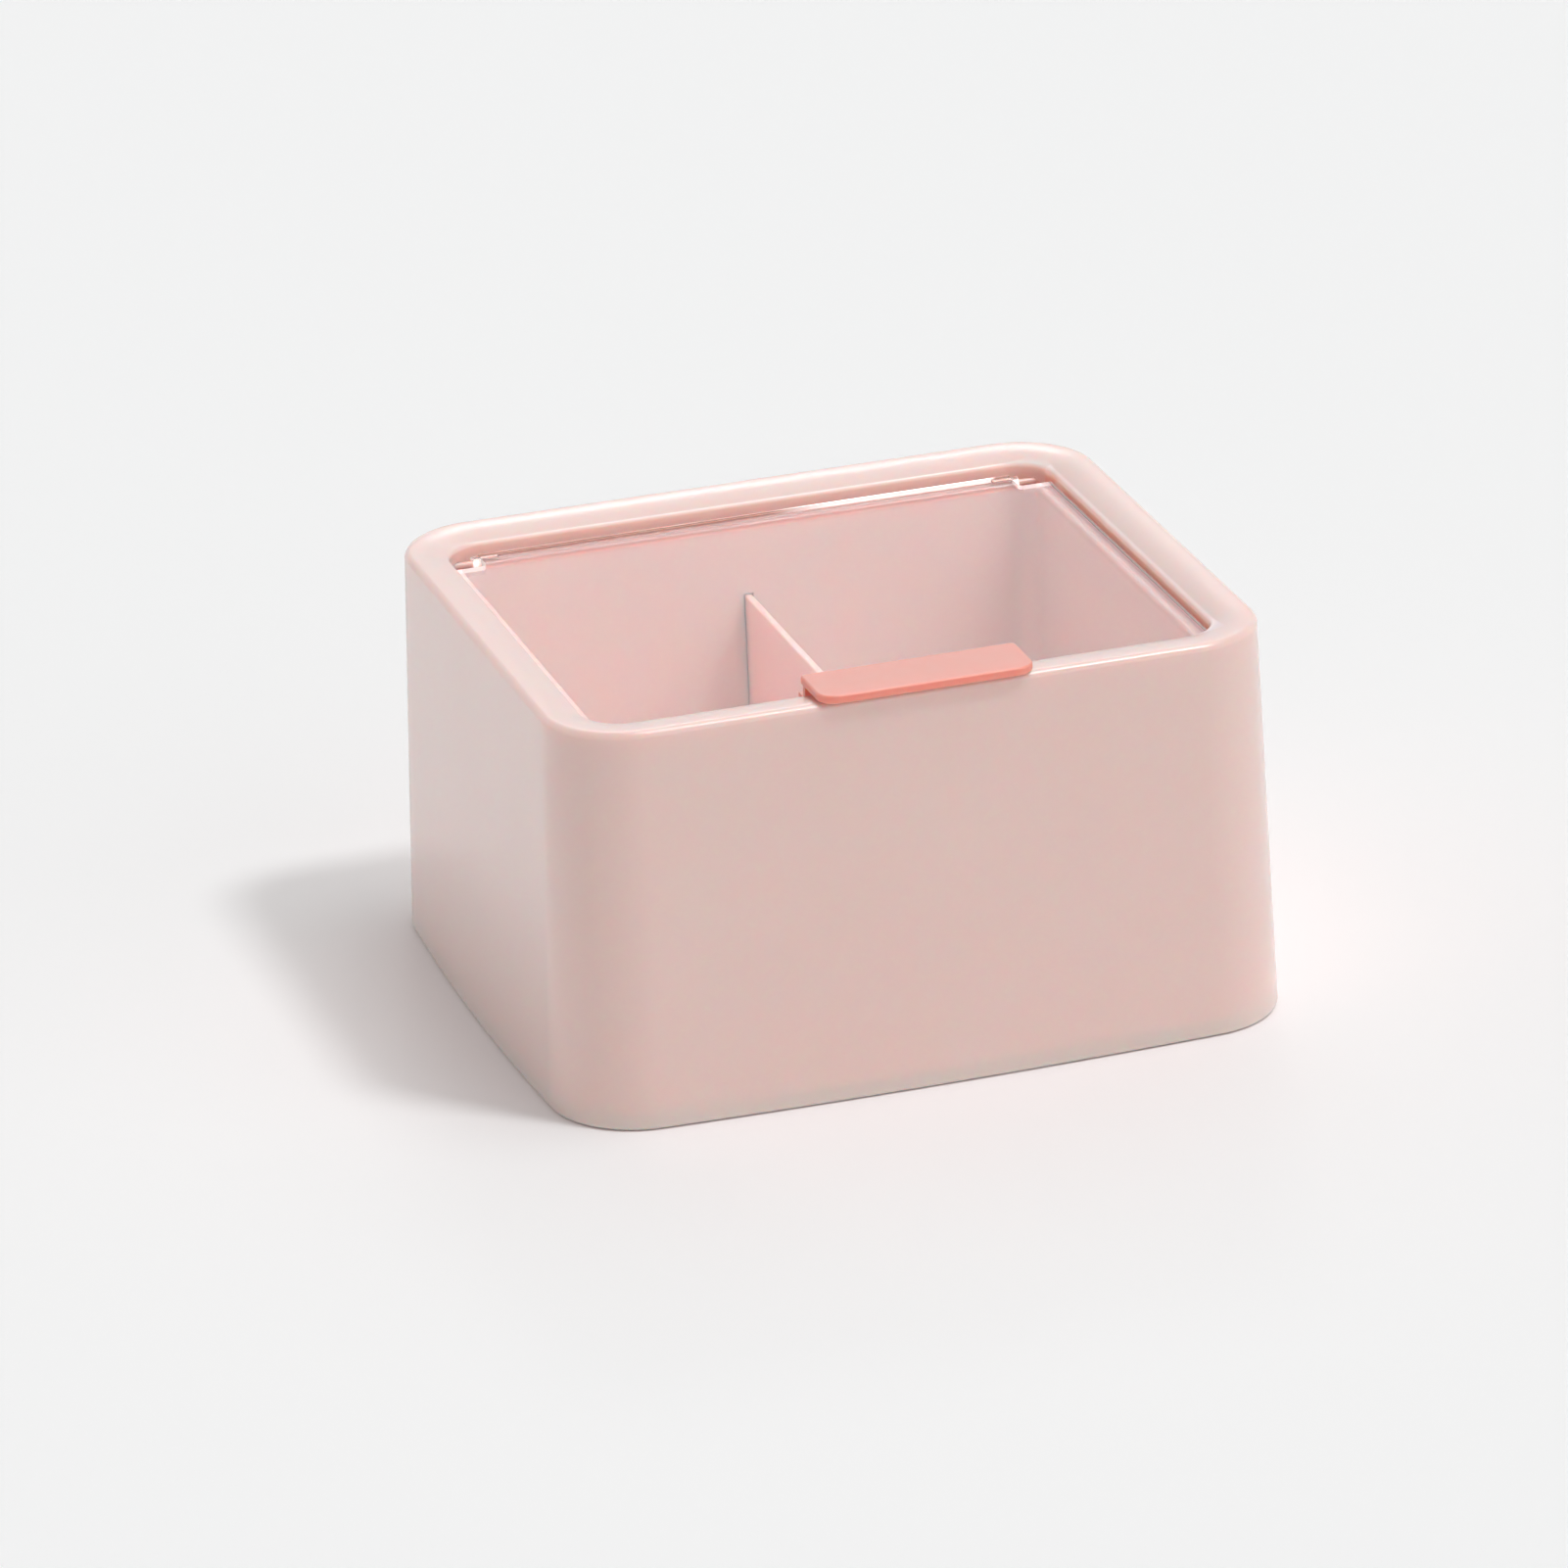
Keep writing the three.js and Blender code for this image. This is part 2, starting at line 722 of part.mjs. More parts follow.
const pinkPlastic = { color: 0xf0c8c0, roughness: 0.4, metalness: 0 };
const coralPlastic = { color: 0xf2998a, roughness: 0.4, metalness: 0 };
const clearPlastic = { color: 0xf6f3f2, roughness: 0.06, metalness: 0, transparent: true, opacity: 0.3 };
const steel = { color: 0xc9ccd0, roughness: 0.3, metalness: 1 };
const silicone = { color: 0xe9e4e2, roughness: 0.8, metalness: 0 };

const creaseAngle = THREE.MathUtils.degToRad(32);

function named(name, solid, finish) {
  const { vertProperties, triVerts } = solid.getMesh();
  const geometry = new THREE.BufferGeometry();
  geometry.setAttribute('position', new THREE.BufferAttribute(vertProperties, 3));
  geometry.setIndex(new THREE.BufferAttribute(triVerts, 1));
  const mesh = new THREE.Mesh(toCreasedNormals(geometry, creaseAngle), new THREE.MeshStandardMaterial(finish));
  mesh.name = name;
  return mesh;
}

// The lid with all that it carries. The group stands on the hinge axis and opens by turning about X.
function lidGroup() {
  const group = new THREE.Group();
  group.add(named('lid', lid(), clearPlastic));
  group.add(named('pull_tab', pullTab(), coralPlastic));
  group.add(named('hinge_pin_left', hingePin(-1), pinkPlastic));
  group.add(named('hinge_pin_right', hingePin(1), pinkPlastic));
  for (const piece of group.children) {
    piece.geometry.translate(0, -hingeY, -hingeZ);
  }
  group.position.set(0, hingeY, hingeZ);
  return group;
}

function baseGroup() {
  const group = new THREE.Group();
  group.add(named('base_cover', baseCover(), pinkPlastic));
  for (const { name, x, y } of screwPlaces()) {
    const screw = named(`base_screw_${name}`, baseScrew(), steel);
    screw.position.set(x, y, coverBottom);
    group.add(screw);
  }
  for (const { name, x, y } of padPlaces()) {
    const pad = named(`foot_pad_${name}`, footPad(), silicone);
    pad.position.set(x, y, 0);
    group.add(pad);
  }
  return group;
}

const box = new THREE.Group();
box.add(named('outer_shell', outerShell(), pinkPlastic));
box.add(named('inner_bin', innerBin(), pinkPlastic));
box.add(named('divider', divider(), pinkPlastic));
box.add(lidGroup());
box.add(baseGroup());

export default box;
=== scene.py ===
"""Dresses the lipstick storage box and sets it in a plain studio.

The box is a tapered double-walled shell with a rolled rim, an inner bin with a partition, a clear
flip lid with a pull tab, and a screwed base cover. Each piece is rebuilt here with fine surfaces
from the same sizes as its solid, and stands where that solid stands. Sizes are in millimetres
unless a name or a docstring says otherwise.
"""

import logging
import math
from collections.abc import Callable
from dataclasses import dataclass
from enum import Enum

import bpy
from mathutils import Matrix, Vector


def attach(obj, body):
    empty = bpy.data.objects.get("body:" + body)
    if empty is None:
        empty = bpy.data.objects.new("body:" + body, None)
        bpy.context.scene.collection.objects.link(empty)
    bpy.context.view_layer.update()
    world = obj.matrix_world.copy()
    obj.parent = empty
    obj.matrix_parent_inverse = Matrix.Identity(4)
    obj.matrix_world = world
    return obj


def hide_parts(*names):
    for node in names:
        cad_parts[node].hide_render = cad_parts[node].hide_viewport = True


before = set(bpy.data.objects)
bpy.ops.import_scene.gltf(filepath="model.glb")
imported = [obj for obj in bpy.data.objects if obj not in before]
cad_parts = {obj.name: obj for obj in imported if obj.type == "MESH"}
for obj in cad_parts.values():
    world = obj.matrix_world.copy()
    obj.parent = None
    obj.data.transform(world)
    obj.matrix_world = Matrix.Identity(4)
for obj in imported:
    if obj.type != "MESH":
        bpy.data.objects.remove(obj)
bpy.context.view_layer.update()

log = logging.getLogger("lipstick_box")

METRES_PER_MM = 0.001
QUARTER_TURN = math.pi / 2
DIAGONAL_SHARE = math.sqrt(0.5)
BLACK = (0.0, 0.0, 0.0, 1.0)

Triple = tuple[float, float, float]
Profile = list[tuple[float, float]]
ShadeStop = tuple[float, Triple]
Ring = list[Vector]
Node = bpy.types.Node
Socket = bpy.types.NodeSocket


# Fineness of round stretches

CORNER_STEPS = 20
SIDE_STEPS = 16
FILLET_STEPS = 8
DOME_STEPS = 12
ROUND_SIDES = 64
SHARP_DEGREES = 32.0

# Clearances that more than one piece uses

SEAT_GAP = 0.3
LID_GAP = 0.4
PIN_GAP = 0.1
THREAD_GAP = 0.1
OVERRUN = 2.0


class Join(Enum):
    """Ways in which one closed form meets another."""

    ADD = "UNION"
    CUT = "DIFFERENCE"
    KEEP = "INTERSECT"


class Side(Enum):
    """The two ends of the hinge."""

    LEFT = -1
    RIGHT = 1


class Corner(Enum):
    """The box's four corners, by their signs along X and Y."""

    FRONT_LEFT = (-1, -1)
    FRONT_RIGHT = (1, -1)
    REAR_LEFT = (-1, 1)
    REAR_RIGHT = (1, 1)

    @property
    def suffix(self) -> str:
        """The corner's name as piece names end in it."""
        return self.name.lower()


@dataclass(frozen=True)
class RoundRectangle:
    """A level rectangle with round corners whose sides may bow out in their middles."""

    length: float
    depth: float
    radius: float
    bow: float = 0.0
    centre_y: float = 0.0

    @property
    def corner_centre(self) -> tuple[float, float]:
        """Centre of the round corner at the rear right."""
        return self.length / 2 - self.radius, self.depth / 2 - self.radius

    def ring(self, height: float, inset: float = 0.0) -> Ring:
        """Draws the outline as points.

        Args:
            height: Where the outline lies.
            inset: How far it is drawn in. A negative value draws it out.

        Returns:
            The points, anticlockwise seen from above.
        """
        half_length = self.length / 2 - inset
        half_depth = self.depth / 2 - inset
        corner = self.radius - inset
        points: list[Vector] = []
        for quarter in range(4):
            sign_x = 1 if quarter in (0, 3) else -1
            sign_y = 1 if quarter < 2 else -1
            centre = Vector((sign_x * (half_length - corner), sign_y * (half_depth - corner)))
            for step in range(CORNER_STEPS + 1):
                angle = QUARTER_TURN * (quarter + step / CORNER_STEPS)
                points.append(centre + corner * Vector((math.cos(angle), math.sin(angle))))
            start = points[-1]
            along_x = quarter % 2 == 0
            end = Vector((-start.x, start.y)) if along_x else Vector((start.x, -start.y))
            out = Vector((0, sign_y)) if along_x else Vector((sign_x, 0))
            for step in range(1, SIDE_STEPS):
                share = step / SIDE_STEPS
                bulge = self.bow * (1 - (2 * share - 1) ** 2)
                points.append(start.lerp(end, share) + bulge * out)
        return [Vector((point.x, point.y + self.centre_y, height)) for point in points]


def blended(a: Ring, b: Ring, share: float, height: float) -> Ring:
    """Mixes two rings of equal counts at a new height.

    Args:
        a: The ring at share 0.
        b: The ring at share 1.
        share: How far the result lies towards b.
        height: The result's height.

    Returns:
        The mixed ring.
    """
    mixed = [p.lerp(q, share) for p, q in zip(a, b)]
    return [Vector((p.x, p.y, height)) for p in mixed]


def quarter_round() -> Profile:
    """Steps of a quarter round, as shares of its radius: out from its start and up along it."""
    angles = [QUARTER_TURN * step / FILLET_STEPS for step in range(FILLET_STEPS + 1)]
    return [(1 - math.cos(angle), math.sin(angle)) for angle in angles]


def circle(radius: float) -> Profile:
    """Points of a circle round the origin, anticlockwise."""
    angles = [2 * math.pi * step / ROUND_SIDES for step in range(ROUND_SIDES)]
    return [(radius * math.cos(angle), radius * math.sin(angle)) for angle in angles]


def rounded_slab(
    outline: Callable[[float, float], Ring], low: float, high: float, radius: float
) -> list[Ring]:
    """Draws a slab whose lower and upper edges are rounded.

    Args:
        outline: Gives the slab's ring at a height, drawn in by an inset.
        low: Height of the slab's lower face.
        high: Height of its upper face.
        radius: Radius of the edges.

    Returns:
        The slab's rings, bottom ring first.
    """
    rings = []
    for out, up in reversed(quarter_round()):
        rings.append(outline(low + radius * (1 - up), radius * out))
    for out, up in quarter_round():
        rings.append(outline(high - radius * (1 - up), radius * out))
    return rings


class Form:
    """A closed mesh in the making, in millimetres. Joining another form to it uses that one up."""

    def __init__(self, points: list[Vector], faces: list[tuple[int, ...]]) -> None:
        """Makes the mesh.

        Args:
            points: Its corners.
            faces: Its faces, as places in points, anticlockwise seen from outside.
        """
        mesh = bpy.data.meshes.new("form")
        mesh.from_pydata([tuple(point) for point in points], [], faces)
        mesh.update()
        self.piece = bpy.data.objects.new("form", mesh)
        bpy.context.scene.collection.objects.link(self.piece)

    def _apply(self) -> None:
        """Turns the modifiers' result into the form's own mesh."""
        depsgraph = bpy.context.evaluated_depsgraph_get()
        evaluated = self.piece.evaluated_get(depsgraph)
        mesh = bpy.data.meshes.new_from_object(evaluated, depsgraph=depsgraph)
        self.piece.modifiers.clear()
        worn = self.piece.data
        self.piece.data = mesh
        bpy.data.meshes.remove(worn)

    def join(self, other: "Form", how: Join) -> "Form":
        """Adds, cuts or keeps what another form covers.

        Args:
            other: The form to join. It is used up.
            how: The way of joining.

        Returns:
            This form, changed.
        """
        modifier = self.piece.modifiers.new("join", "BOOLEAN")
        modifier.operation = how.value
        modifier.solver = "EXACT"
        modifier.object = other.piece
        self._apply()
        worn = other.piece.data
        bpy.data.objects.remove(other.piece)
        bpy.data.meshes.remove(worn)
        return self

    def faced_outwards(self) -> "Form":
        """Turns the faces outwards, whichever way the outline ran, and gives the form back.

        Returns:
            This form, changed.
        """
        mesh = self.piece.data
        volume = 0.0
        for face in mesh.polygons:
            corners = [mesh.vertices[index].co for index in face.vertices]
            for a, b in zip(corners[1:], corners[2:]):
                volume += corners[0].dot(a.cross(b))
        if volume < 0:
            mesh.flip_normals()
        return self

    def finished(self, name: str, material: bpy.types.Material) -> bpy.types.Object:
        """Smooths the shading, changes the form to metres and dresses it.

        Args:
            name: The piece's name.
            material: The piece's finish.

        Returns:
            The finished piece.
        """
        mesh = self.piece.data
        mesh.shade_smooth()
        mesh.set_sharp_from_angle(angle=math.radians(SHARP_DEGREES))
        modifier = self.piece.modifiers.new("even_faces", "WEIGHTED_NORMAL")
        modifier.keep_sharp = True
        self._apply()
        mesh = self.piece.data
        mesh.transform(Matrix.Scale(METRES_PER_MM, 4))
        mesh.materials.clear()
        mesh.materials.append(material)
        mesh.name = name
        self.piece.name = name
        return self.piece


def loft(rings: list[Ring], capped: bool = True) -> Form:
    """Stretches a skin over rings of equal counts, bottom ring first.

    Args:
        rings: The rings.
        capped: Whether the ends get flat caps. If not, the skin closes on itself like a tyre.

    Returns:
        The closed form.
    """
    count = len(rings[0])
    points = [point for ring in rings for point in ring]
    faces: list[tuple[int, ...]] = []
    bands = len(rings) - 1 if capped else len(rings)
    for band in range(bands):
        low = band * count
        high = ((band + 1) % len(rings)) * count
        for here in range(count):
            following = (here + 1) % count
            faces.append((low + here, low + following, high + following, high + here))
    if capped:
        top = (len(rings) - 1) * count
        faces.append(tuple(reversed(range(count))))
        faces.append(tuple(range(top, top + count)))
    return Form(points, faces)


def block(low: Triple, high: Triple) -> Form:
    """Makes a box between two opposite corners.

    Args:
        low: The corner with the lowest X, Y and Z.
        high: The opposite corner.

    Returns:
        The box.
    """
    (x0, y0, z0), (x1, y1, z1) = low, high
    corners = [(x0, y0), (x1, y0), (x1, y1), (x0, y1)]
    return loft([[Vector((x, y, z)) for x, y in corners] for z in (z0, z1)])


def turned(profile: Profile) -> Form:
    """Turns a profile of radius and height about the Z axis.

    Args:
        profile: Points from the bottom up, none of them on the axis.

    Returns:
        The closed form, with flat caps.
    """
    rings = [[Vector((x, y, height)) for x, y in circle(radius)] for radius, height in profile]
    return loft(rings)


def moved(form: Form, x: float, y: float, z: float = 0.0) -> Form:
    """Shifts a form by the given distances."""
    form.piece.data.transform(Matrix.Translation((x, y, z)))
    return form


def column(x: float, y: float, radius: float, low: float, high: float) -> Form:
    """Makes an upright round bar between two heights."""
    return moved(turned([(radius, low), (radius, high)]), x, y)


def drawn_along_x(profile: Profile, start: float, end: float) -> Form:
    """Draws a profile of Y and Z along X.

    Args:
        profile: The outline.
        start: The lower end along X.
        end: The higher end along X.

    Returns:
        The closed form.
    """
    return loft([[Vector((x, y, z)) for y, z in profile] for x in (start, end)]).faced_outwards()


# Shader node groups

# Most of a noise pattern's values lie between these
NOISE_LOW = 0.3
NOISE_HIGH = 0.7


def with_values(node: Node, values: dict[str, object]) -> Node:
    """Sets a node's own inputs.

    Args:
        node: The node.
        values: The values by the inputs' names.

    Returns:
        The same node.
    """
    for name, value in values.items():
        node.inputs[name].default_value = value
    return node


class NodeSheet:
    """Short ways to place and link nodes in one node tree."""

    def __init__(self, tree: bpy.types.NodeTree) -> None:
        """Keeps the tree that the nodes go into."""
        self.tree = tree

    def add(self, kind: str, **settings: object) -> Node:
        """Places a node.

        Args:
            kind: The node's type name.
            **settings: Values of the node's own properties.

        Returns:
            The node.
        """
        node = self.tree.nodes.new(kind)
        for name, value in settings.items():
            setattr(node, name, value)
        return node

    def link(self, source: Socket, target: Socket) -> None:
        """Links an output to an input."""
        self.tree.links.new(source, target)

    def feed(self, value: object, target: Socket) -> None:
        """Gives an input its value.

        Args:
            value: The socket or the plain value.
            target: The input.
        """
        if isinstance(value, Socket):
            self.link(value, target)
        else:
            target.default_value = value

    def maths(self, how: str, a: object, b: object) -> Socket:
        """Works out one number from two, each a socket or a plain value.

        Args:
            how: The operation's name.
            a: The first number.
            b: The second number.

        Returns:
            The result's socket.
        """
        node = self.add("ShaderNodeMath", operation=how)
        self.feed(a, node.inputs[0])
        self.feed(b, node.inputs[1])
        return node.outputs[0]

    def absolute(self, value: Socket) -> Socket:
        """Takes a number's sign away."""
        return self.maths("ABSOLUTE", value, 0.0)

    def coordinates(self, which: str) -> Node:
        """Splits one of the texture coordinates into X, Y and Z.

        Args:
            which: The coordinates' name.

        Returns:
            The node whose outputs are the three parts.
        """
        parts = self.add("ShaderNodeSeparateXYZ")
        self.link(self.add("ShaderNodeTexCoord").outputs[which], parts.inputs[0])
        return parts

    def looked_at(self) -> Socket:
        """Is 1 for what the camera sees straight, mirrored or through plastic, and else 0.

        Returns:
            The number's socket.
        """
        path = self.add("ShaderNodeLightPath")
        looks = self.maths("MAXIMUM", path.outputs["Is Camera Ray"], path.outputs["Is Glossy Ray"])
        return self.maths("MAXIMUM", looks, path.outputs["Is Transmission Ray"])

    def noise(self, where: Socket, scale: object, detail: float = 2.0) -> Socket:
        """Places a noise pattern.

        Args:
            where: The coordinates that it is read at.
            scale: Its repeats per metre, as a socket or a plain value.
            detail: Its finer layers.

        Returns:
            The socket of its value, about 0.5 on average.
        """
        node = self.add("ShaderNodeTexNoise")
        node.inputs["Detail"].default_value = detail
        self.link(where, node.inputs["Vector"])
        self.feed(scale, node.inputs["Scale"])
        return node.outputs["Fac"]

    def ramp(self, value: Socket, start: float, end: float) -> Socket:
        """Rises from 0 at start to 1 at end, which may lie below start.

        Args:
            value: The number that the ramp goes by.
            start: Where it is 0.
            end: Where it is 1.

        Returns:
            The ramp's socket.
        """
        node = with_values(self.add("ShaderNodeMapRange"), {"From Min": start, "From Max": end})
        self.link(value, node.inputs["Value"])
        return node.outputs["Result"]

    def shades(self, value: Socket, stops: tuple[ShadeStop, ...]) -> Socket:
        """Places a colour ramp with the given stops, each at a place along the value.

        Args:
            value: The number that the ramp goes by.
            stops: The places and their colours, lowest first.

        Returns:
            The colour's socket.
        """
        first, last = stops[0][0], stops[-1][0]
        node = self.add("ShaderNodeValToRGB")
        marks = node.color_ramp.elements
        while len(marks) < len(stops):
            marks.new(0.5)
        for mark, (place, colour) in zip(marks, stops):
            mark.position = (place - first) / (last - first)
            mark.color = (*colour, 1.0)
        self.link(self.ramp(value, first, last), node.inputs[0])
        return node.outputs["Color"]

    def blend(self, how: str, share: Socket, a: object, b: object) -> Socket:
        """Blends two colours, each a socket or a plain colour.

        Args:
            how: The blend's name.
            share: How far the blend goes.
            a: The colour at share 0.
            b: The colour that is blended in.

        Returns:
            The result's socket.
        """
        node = self.add("ShaderNodeMix", data_type="RGBA", blend_type=how)
        self.link(share, node.inputs["Factor"])
        for target, colour in zip([s for s in node.inputs if s.type == "RGBA"], (a, b)):
            self.feed(colour, target)
        return next(s for s in node.outputs if s.type == "RGBA")

    def spread(self, value: Socket, low: object, high: object) -> Socket:
        """Spreads the middle of a noise pattern over a range.

        Args:
            value: The pattern.
            low: The range's lower end, as a socket or a plain value.
            high: The range's upper end, as a socket or a plain value.

        Returns:
            The spread value's socket.
        """
        node = self.add("ShaderNodeMapRange")
        with_values(node, {"From Min": NOISE_LOW, "From Max": NOISE_HIGH})
        self.feed(low, node.inputs["To Min"])
        self.feed(high, node.inputs["To Max"])
        self.link(value, node.inputs["Value"])
        return node.outputs["Result"]


class GroupKind(Enum):
    """The effects that more than one material uses."""

    MOULDED_SKIN = "moulded_skin"
    HAIRLINES = "hairlines"


class ShaderGroups:
    """The shared node groups, each built once. Their patterns are in repeats per metre."""

    slow_patches = 28.0
    small_patches = 260.0
    smudges = 75.0
    slow_tone_share = 0.7
    small_tone_share = 0.3
    small_height_share = 0.3
    line_detail = 3.0
    grain_detail = 1.0

    def __init__(self) -> None:
        """Builds every group."""
        self.trees = {
            GroupKind.MOULDED_SKIN: self._moulded_skin(),
            GroupKind.HAIRLINES: self._hairlines(),
        }

    def place(self, sheet: NodeSheet, kind: GroupKind, values: dict[str, object]) -> Node:
        """Places a group in a material.

        Args:
            sheet: The material's node sheet.
            kind: Which group.
            values: The group's own inputs by name.

        Returns:
            The group's node.
        """
        return with_values(sheet.add("ShaderNodeGroup", node_tree=self.trees[kind]), values)

    @staticmethod
    def _tree(
        kind: GroupKind, inputs: dict[str, str], outputs: dict[str, str]
    ) -> tuple[bpy.types.NodeTree, NodeSheet, Node, Node]:
        """Starts a group with named sockets.

        Args:
            kind: Which group.
            inputs: Input names and socket types.
            outputs: Output names and socket types.

        Returns:
            The tree, its node sheet, its input node and its output node.
        """
        tree = bpy.data.node_groups.new(kind.value, "ShaderNodeTree")
        for way, sockets in (("INPUT", inputs), ("OUTPUT", outputs)):
            for name, socket_type in sockets.items():
                tree.interface.new_socket(name, in_out=way, socket_type=socket_type)
        sheet = NodeSheet(tree)
        return tree, sheet, sheet.add("NodeGroupInput"), sheet.add("NodeGroupOutput")

    def _moulded_skin(self) -> bpy.types.NodeTree:
        """Fine spark-eroded grain with slow drifts of tone and gloss, as on moulded plastic.

        Returns:
            The group's tree.
        """
        tree, sheet, given, made = self._tree(
            GroupKind.MOULDED_SKIN,
            {
                "Tone": "NodeSocketColor",
                "Tone Drift": "NodeSocketFloat",
                "Roughness": "NodeSocketFloat",
                "Gloss Drift": "NodeSocketFloat",
                "Grains per Metre": "NodeSocketFloat",
            },
            {
                "Color": "NodeSocketColor",
                "Roughness": "NodeSocketFloat",
                "Height": "NodeSocketFloat",
            },
        )
        where = sheet.add("ShaderNodeTexCoord").outputs["Object"]
        slow = sheet.noise(where, self.slow_patches)
        small = sheet.noise(where, self.small_patches)
        grain = sheet.noise(where, given.outputs["Grains per Metre"], self.grain_detail)
        tone_drift, gloss_drift = given.outputs["Tone Drift"], given.outputs["Gloss Drift"]
        darker = sheet.maths("SUBTRACT", 1.0, tone_drift)
        paler = sheet.maths("ADD", 1.0, tone_drift)
        slow_part = sheet.maths("MULTIPLY", slow, self.slow_tone_share)
        small_part = sheet.maths("MULTIPLY", small, self.small_tone_share)
        tone_mix = sheet.maths("ADD", slow_part, small_part)
        tint = sheet.add("ShaderNodeVectorMath", operation="SCALE")
        sheet.link(given.outputs["Tone"], tint.inputs[0])
        sheet.link(sheet.spread(tone_mix, darker, paler), tint.inputs["Scale"])
        sheet.link(tint.outputs[0], made.inputs["Color"])
        duller = sheet.maths("ADD", given.outputs["Roughness"], gloss_drift)
        glossier = sheet.maths("SUBTRACT", given.outputs["Roughness"], gloss_drift)
        sheet.link(sheet.spread(small, glossier, duller), made.inputs["Roughness"])
        small_height = sheet.maths("MULTIPLY", small, self.small_height_share)
        sheet.link(sheet.maths("ADD", grain, small_height), made.inputs["Height"])
        return tree

    def _hairlines(self) -> bpy.types.NodeTree:
        """Thin rubbed lines in two directions, with soft smudges between them.

        Returns:
            The group's tree.
        """
        tree, sheet, given, made = self._tree(
            GroupKind.HAIRLINES,
            {
                "Roughness": "NodeSocketFloat",
                "Rubbing": "NodeSocketFloat",
                "Lines per Metre": "NodeSocketFloat",
                "Stretch": "NodeSocketVector",
            },
            {"Roughness": "NodeSocketFloat", "Height": "NodeSocketFloat"},
        )
        where = sheet.add("ShaderNodeTexCoord").outputs["Object"]
        stretched = sheet.add("ShaderNodeVectorMath", operation="MULTIPLY")
        sheet.link(where, stretched.inputs[0])
        sheet.link(given.outputs["Stretch"], stretched.inputs[1])
        per_metre = given.outputs["Lines per Metre"]
        lines = sheet.noise(stretched.outputs[0], per_metre, self.line_detail)
        smudges = sheet.noise(where, self.smudges, self.line_detail)
        strong_lines, strong_smudges = (
            sheet.spread(pattern, 0.0, 1.0) for pattern in (lines, smudges)
        )
        marks = sheet.maths("MULTIPLY", strong_lines, strong_smudges)
        rubbed = sheet.maths("MULTIPLY", marks, given.outputs["Rubbing"])
        sheet.link(sheet.maths("ADD", given.outputs["Roughness"], rubbed), made.inputs["Roughness"])
        sheet.link(lines, made.inputs["Height"])
        return tree


# Finishes

# The sRGB curve, which is straight up to a point and a power above it
SRGB_STRAIGHT_END = 0.04045
SRGB_STRAIGHT_SLOPE = 12.92
SRGB_SHIFT = 0.055
SRGB_POWER = 2.4


def linear(srgb: Triple) -> tuple[float, float, float, float]:
    """Changes a colour as a screen shows it to linear light.

    Args:
        srgb: Red, green and blue, each from 0 to 1.

    Returns:
        The linear colour with an alpha of 1.
    """
    parts = [
        c / SRGB_STRAIGHT_SLOPE
        if c <= SRGB_STRAIGHT_END
        else ((c + SRGB_SHIFT) / (1 + SRGB_SHIFT)) ** SRGB_POWER
        for c in srgb
    ]
    return (*parts, 1.0)


def started(name: str) -> tuple[bpy.types.Material, NodeSheet, Node, Node]:
    """Starts a material.

    Args:
        name: The material's name.

    Returns:
        The material, its node sheet, its Principled shader and its output node.
    """
    material = bpy.data.materials.new(name)
    material.use_nodes = True
    material.node_tree.nodes.clear()
    sheet = NodeSheet(material.node_tree)
    shader = sheet.add("ShaderNodeBsdfPrincipled")
    output = sheet.add("ShaderNodeOutputMaterial")
    sheet.link(shader.outputs[0], output.inputs["Surface"])
    return material, sheet, shader, output


def bumped(sheet: NodeSheet, shader: Node, height: Socket, depth: float) -> None:
    """Feeds a height to a shader's normal.

    Args:
        sheet: The material's node sheet.
        shader: The shader.
        height: The height's socket.
        depth: What a height of 1 stands for, in metres.
    """
    bump = with_values(sheet.add("ShaderNodeBump"), {"Strength": 1.0, "Distance": depth})
    sheet.link(height, bump.inputs["Height"])
    sheet.link(bump.outputs["Normal"], shader.inputs["Normal"])


